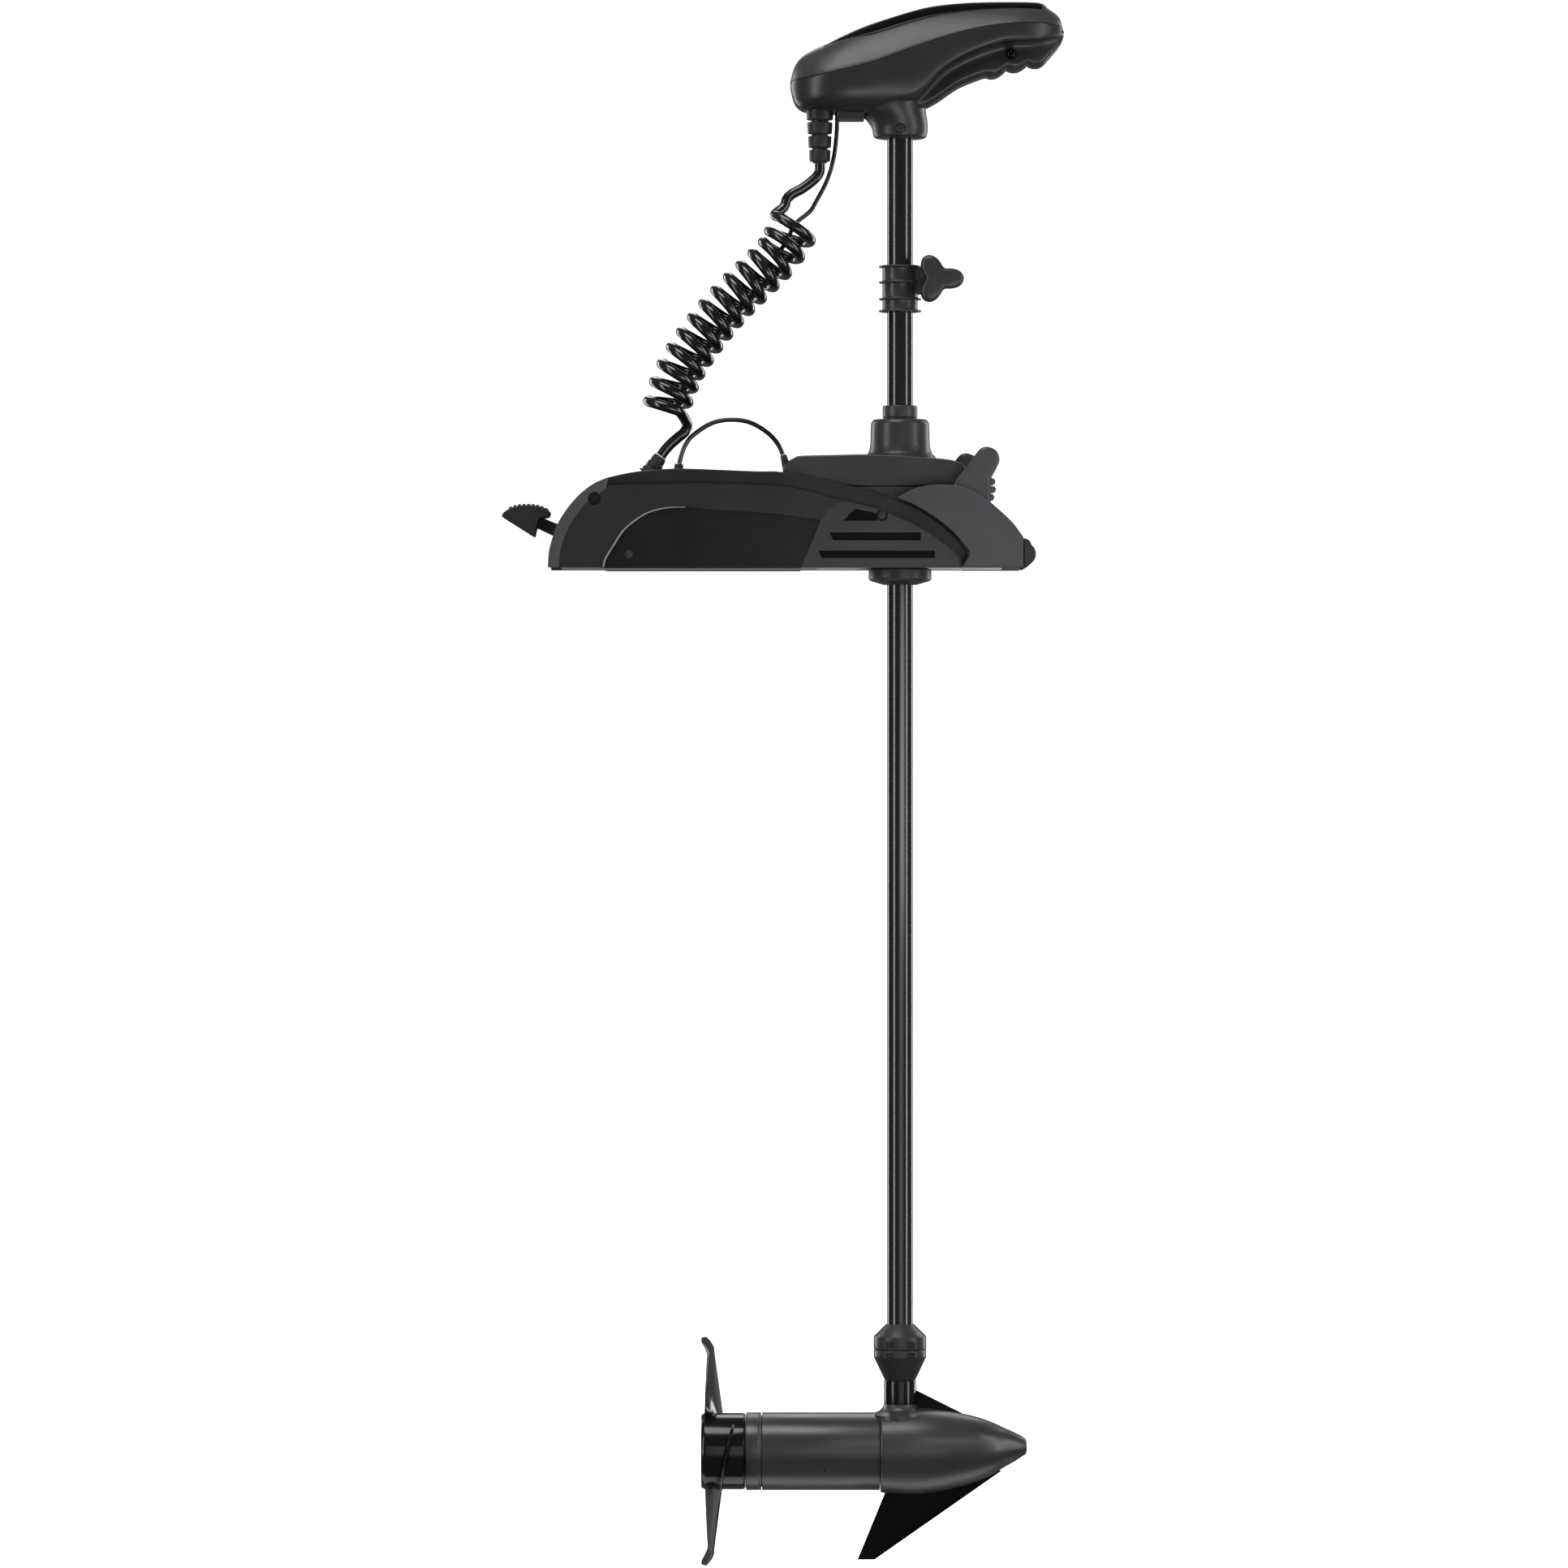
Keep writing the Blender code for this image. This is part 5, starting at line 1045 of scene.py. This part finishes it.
# The steering housing
def steering_housing():
    half = HOUSING_HALF
    outline = [(0.0926, SEAM_Z + 0.0003), *flat(HOUSING_TOP, 4)]
    cover = bevel(prism("housing_cover_shell", outline, -half, half), 0.0062, 6, 60)
    tower_profile = [
        (0.0, TOWER_TOP), (TOWER_R - 0.004, TOWER_TOP, 0.001), (TOWER_R - 0.0006, TOWER_TOP - 0.004, 0.0045),
        (TOWER_R, 0.142, 0.006), (TOWER_R + 0.0028, 0.133, 0.007), (TOWER_R + 0.0075, 0.1296, 0.004),
        (TOWER_R + 0.0075, 0.12), (0.0, 0.12),
    ]
    tower = turned("tower", fillet(tower_profile, 0.0, 6, False), segments=120, closed=False)
    boolean(cover, [tower], "UNION")
    bore = rod("tower_bore", (SHAFT_X, 0, 0.11), (SHAFT_X, 0, 0.2), 0.02, 96)
    boolean(cover, [bore])
    place(cover, "steering_housing", HOUSING, ("housing_cover",), smooth=32)

    sleeve_profile = [
        (0.0196, 0.024), (0.0196, 0.1745), (0.0202, 0.176), (0.0202, SLEEVE_TOP - 0.0012),
        (0.0192, SLEEVE_TOP), (0.0162, SLEEVE_TOP), (0.0153, SLEEVE_TOP - 0.0012), (0.0153, 0.024),
    ]
    sleeve = turned("steering_sleeve_bushing", fillet(sleeve_profile, 0.0005, 3))
    place(sleeve, "drive_sleeve", BLACK, ("steering_sleeve",), smooth=40)
    collar_profile = [
        (0.03, 0.0197), (0.03, 0.001), (0.0362, -0.0006), (0.0365, -0.0118), (0.0345, -0.014),
        (0.0195, -0.0185), (0.0155, -0.0185), (0.0155, 0.0197),
    ]
    collar = turned("lower_bearing_ring", fillet(collar_profile, 0.0013, 4))
    place(collar, "steering_housing", HOUSING, ("lower_bearing_collar",), smooth=40)
    top, foot = (0.0912, GLAND_Y, 0.1308), (0.0956, GLAND_Y, 0.115)
    boot = rod("loop_cable_boot_sleeve", foot, top, 0.0052, 48, 0.001, 0.0036)
    place(boot, "steering_housing", RUBBER, ("loop_cable_boot",), smooth=40)


# The submerged motor
def shaft_clamps():
    """The two halves of the bulb where the shaft meets the motor, with windows over the clamp screws."""
    bore = SHAFT_R + 0.0003
    upper_profile = [
        (0.0162, -0.8744), (0.0306, -0.8885), (0.0306, -0.9035), (bore, -0.9035), (bore, -0.8744),
    ]
    lower_profile = [
        (0.0306, -0.9039), (0.0306, -0.9125), (0.0178, -0.9393), (bore, -0.9393), (bore, -0.9039),
    ]
    upper = turned("shaft_clamp_top_half", fillet(upper_profile, 0.0012, 4))
    lower = turned("shaft_clamp_bottom_half", fillet(lower_profile, 0.0012, 4))
    for side in (-1, 1):
        for x in (-0.0125, 0.0125):
            low = (SHAFT_X + x - 0.0042, side * 0.034 if side < 0 else 0.0225, -0.9012)
            high = (SHAFT_X + x + 0.0042, -0.0225 if side < 0 else 0.034, -0.8935)
            boolean(upper, [box("clamp_window", low, high)])
            low = (low[0], low[1], -0.9125)
            high = (high[0], high[1], -0.9058)
            boolean(lower, [box("clamp_window", low, high)])
            head = rod(f"clamp_bolt_{side}_{x}", (SHAFT_X + x, side * 0.02, -0.8974),
                       (SHAFT_X + x, side * 0.0252, -0.8974), 0.0031, 32, 0.0006)
            join(upper, head)
    for piece, node in ((upper, "shaft_clamp_upper"), (lower, "shaft_clamp_lower")):
        place(piece, "shaft", BLACK, (node,), smooth=35)


NOSE_STATIONS = [
    (0.2036, 0.0472, 0.0), (0.21, 0.0484, 0.0), (0.2468, 0.0498, 0.0005), (0.2736, 0.0472, 0.001),
    (0.2996, 0.0418, 0.0018), (0.3181, 0.0366, 0.0025), (0.334, 0.0301, 0.0033), (0.347, 0.0231, 0.0042),
    (0.36, 0.0166, 0.005), (0.3686, 0.0115, 0.0055), (0.3724, 0.0086, 0.0055), (0.3735, 0.004, 0.0055),
]


def nose_housing():
    """The motor's nose with the shaft socket, the top fin and the skeg."""
    rings = []
    for x, radius, rise in smooth_curve(NOSE_STATIONS, 6):
        angles = np.linspace(0, 2 * math.pi, 96, endpoint=False)
        rings.append([(x, radius * math.cos(a), UNIT_Z + rise + radius * math.sin(a)) for a in angles])
    nose = loft("motor_nose_shell", rings)
    socket_profile = [
        (0.0, -0.94), (0.0174, -0.94), (0.0176, -0.965, 0.009), (0.0215, -0.9735, 0.006), (0.033, -0.979),
        (0.033, -0.995), (0.0, -0.995),
    ]
    socket = turned("socket", fillet(socket_profile, 0.0, 8, False), closed=False)
    boolean(nose, [socket], "UNION")
    boolean(nose, [rod("socket_bore", (SHAFT_X, 0, -0.93), (SHAFT_X, 0, -0.96), SHAFT_R + 0.0002, 96)])
    place(nose, "shaft", MOTOR, ("motor_nose_housing",), smooth=30)
    sleeve_profile = [
        (0.0187, -0.9396), (0.0187, -0.9748), (0.0178, -0.9748), (SHAFT_R + 0.0002, -0.96),
        (SHAFT_R + 0.0002, -0.9396),
    ]
    sleeve = turned("motor_socket_sleeve", fillet(sleeve_profile, 0.0008, 3))
    place(sleeve, "shaft", PROPELLER, smooth=40)
    fin = fin_blade("motor_top_fin", [(0.243, -0.95), (0.311, -0.984)], [(0.233, -0.993), (0.3, -0.996)],
                    0.0014, 0.0034)
    place(fin, "shaft", FIN)
    skeg = fin_blade("motor_skeg_fin", [(0.1772, -1.1474), (0.197, -1.1474)],
                     [(0.218, -1.048), (0.345, -1.044)], 0.0012, 0.0042)
    place(skeg, "shaft", FIN)


def fin_blade(name, tip, root, tip_half, root_half):
    """A cast fin: thin at the tip and the edges, thicker at the root."""
    layers = []
    rows, columns = 12, 16
    for i in range(rows + 1):
        t = i / rows
        start = Vector(root[0]).lerp(Vector(tip[0]), t)
        end = Vector(root[1]).lerp(Vector(tip[1]), t)
        half = root_half + (tip_half - root_half) * t
        near, far = [], []
        for j in range(columns + 1):
            u = j / columns
            place_xz = start.lerp(end, u)
            thick = half * (0.22 + 0.78 * max(0.0, math.sin(math.pi * u)) ** 0.5)
            near.append((place_xz.x, -thick, place_xz.y))
            far.append((place_xz.x, thick, place_xz.y))
        layers.append(near + far[::-1])
    fin = loft(name, layers)
    return bevel(fin, 0.0004, 2, 60)


def motor_body():
    inner = UNIT_R - 0.0035
    groove = 0.0012
    centre_profile = [
        (UNIT_R, BELL_X1 + 0.0004), (UNIT_R, CENTRE_X1 - 0.0004), (inner, CENTRE_X1 - 0.0004),
        (inner, BELL_X1 + 0.0004),
    ]
    centre = turned("motor_centre_tube", fillet(centre_profile, 0.0005, 3), UNIT_AXIS, "X", 128)
    drain = rod("drain_dot", (0.1392, -0.0455, UNIT_Z - 0.019), (0.1392, -0.03, UNIT_Z - 0.019), 0.0009, 24)
    boolean(centre, [drain])
    place(centre, "shaft", MOTOR, ("motor_centre_housing",), smooth=40)
    bell_profile = [
        (UNIT_R, BELL_X1 - 0.0003), (UNIT_R, 0.064), (UNIT_R - groove * 0.5, 0.0632), (UNIT_R, 0.0624),
        (UNIT_R, HUB_X1 + 0.0012), (0.0425, HUB_X1 + 0.0012), (0.0425, HUB_X1 + 0.0003),
        (0.024, HUB_X1 + 0.0003), (0.006, HUB_X1 + 0.003), (0.006, 0.056), (0.012, 0.056), (0.012, 0.06),
        (0.038, 0.06), (0.038, 0.073), (inner - 0.0003, 0.073), (inner - 0.0003, BELL_X1 - 0.0003),
    ]
    bell = turned("motor_end_bell_cap", fillet(bell_profile, 0.0005, 3), UNIT_AXIS, "X", 128)
    place(bell, "shaft", MOTOR, ("motor_end_bell",), smooth=40)


def blade(name, phase):
    """A swept weedless blade: its root wraps the hub and its tip hooks back."""
    rings = []
    for v in np.linspace(0, 1, 40):
        radius = HUB_R - 0.0015 + (PROP_R - HUB_R + 0.0015) * v
        lead = 118 * (1 - v) ** 2.2 + 20 * (1 - v) + 5
        trail = -24 * (1 - v) ** 0.6 - 6
        rake = -0.003 * v - 0.0085 * (max(0.0, v - 0.84) / 0.16) ** 1.6
        front, back = [], []
        for u in (1 - np.cos(np.linspace(0, math.pi, 22))) / 2:
            angle = trail + (lead - trail) * u
            edge = math.sqrt(max(0.0, 1 - (2 * u - 1) ** 2))
            thick = (0.0018 * (1 - 0.3 * v) + 0.0003 + 0.0022 * math.exp(-v / 0.06)) * edge + 0.00012
            pitch = (0.00016 if angle > 0 else 0.00038) + 0.00025 * smoothstep((v - 0.8) / 0.2)
            x = 0.0115 + pitch * angle + rake
            turn = math.radians(phase + angle)
            y, z = radius * math.sin(turn), UNIT_Z + radius * math.cos(turn)
            front.append((x + thick, y, z))
            back.append((x - thick, y, z))
        rings.append(front + back[::-1])
    return loft(name, rings)


def propeller():
    """An open-backed hub with two swept blades and an inner boss on the shaft."""
    profile = [
        (HUB_R, HUB_X1), (HUB_R, 0.0468), (HUB_R - 0.001, 0.046), (HUB_R, 0.0452), (HUB_R, 0.0, 0.002),
        (HUB_R - 0.0022, HUB_X0, 0.0012), (HUB_R - 0.0052, HUB_X0, 0.0008), (HUB_R - 0.0055, 0.03, 0.002),
        (0.013, 0.03, 0.003), (0.013, 0.018, 0.001), (0.0053, 0.018), (0.0053, HUB_X1),
    ]
    hub = turned("propeller_hub", fillet(profile, 0.0004, 4), UNIT_AXIS, "X", 128)
    ribs = []
    for number in range(6):
        rib = box(f"hub_rib_{number}", (0.012, -0.0011, 0.012), (0.032, 0.0011, 0.039))
        rib.data.transform(Matrix.Translation(UNIT_AXIS) @ Matrix.Rotation(math.pi / 3 * number, 4, "X"))
        ribs.append(rib)
    join(hub, blade("blade_a", 0), blade("blade_b", 180), *ribs)
    place(hub, "propeller_rotor", PROPELLER, ("propeller",), smooth=40)


def carried_over():
    """CAD pieces that show as they are, in their own finish."""
    dress(EXTRUSION, "base_extrusion", soften=0.0006)
    dress(HOUSING, "housing_tub", soften=0.001)
    dress(STEEL, "tilt_pivot_pin", "rear_tie_rod", "lever_pivot_pin", "latch_bolt", "latch_spring",
          "steering_motor", "steering_pinion", "sleeve_bearing_upper", "sleeve_bearing_lower",
          "propeller_shaft", "drive_pin", "propeller_nut")
    dress(BRONZE, "drive_gear", "bearing_front", "bearing_rear")
    dress(COPPER, "armature", "motor_lead_wires")
    dress(MAGNET, "magnet_near", "magnet_far")
    dress(BOARD, "head_circuit_board")
    dress(BLACK, "brush_plate")


studio()
cords()
steering_head()
strain_relief()
shaft()
depth_collar()
for label, side in (("near", -1), ("far", 1)):
    side_frame(label, side)
    side_plate(label, side)
    motor_ramp(label, side)
rear_cover()
gland("coil_cord_gland_boot", -0.064, 0.0135, 0.0187, 0.013, 0.0072, "coil_cord_gland")
gland("loop_cable_gland_boot", -0.0301, 0.001, 0.0099, 0.0072, 0.005, "loop_cable_gland")
foot_lever()
steering_housing()
shaft_clamps()
nose_housing()
motor_body()
propeller()
carried_over()
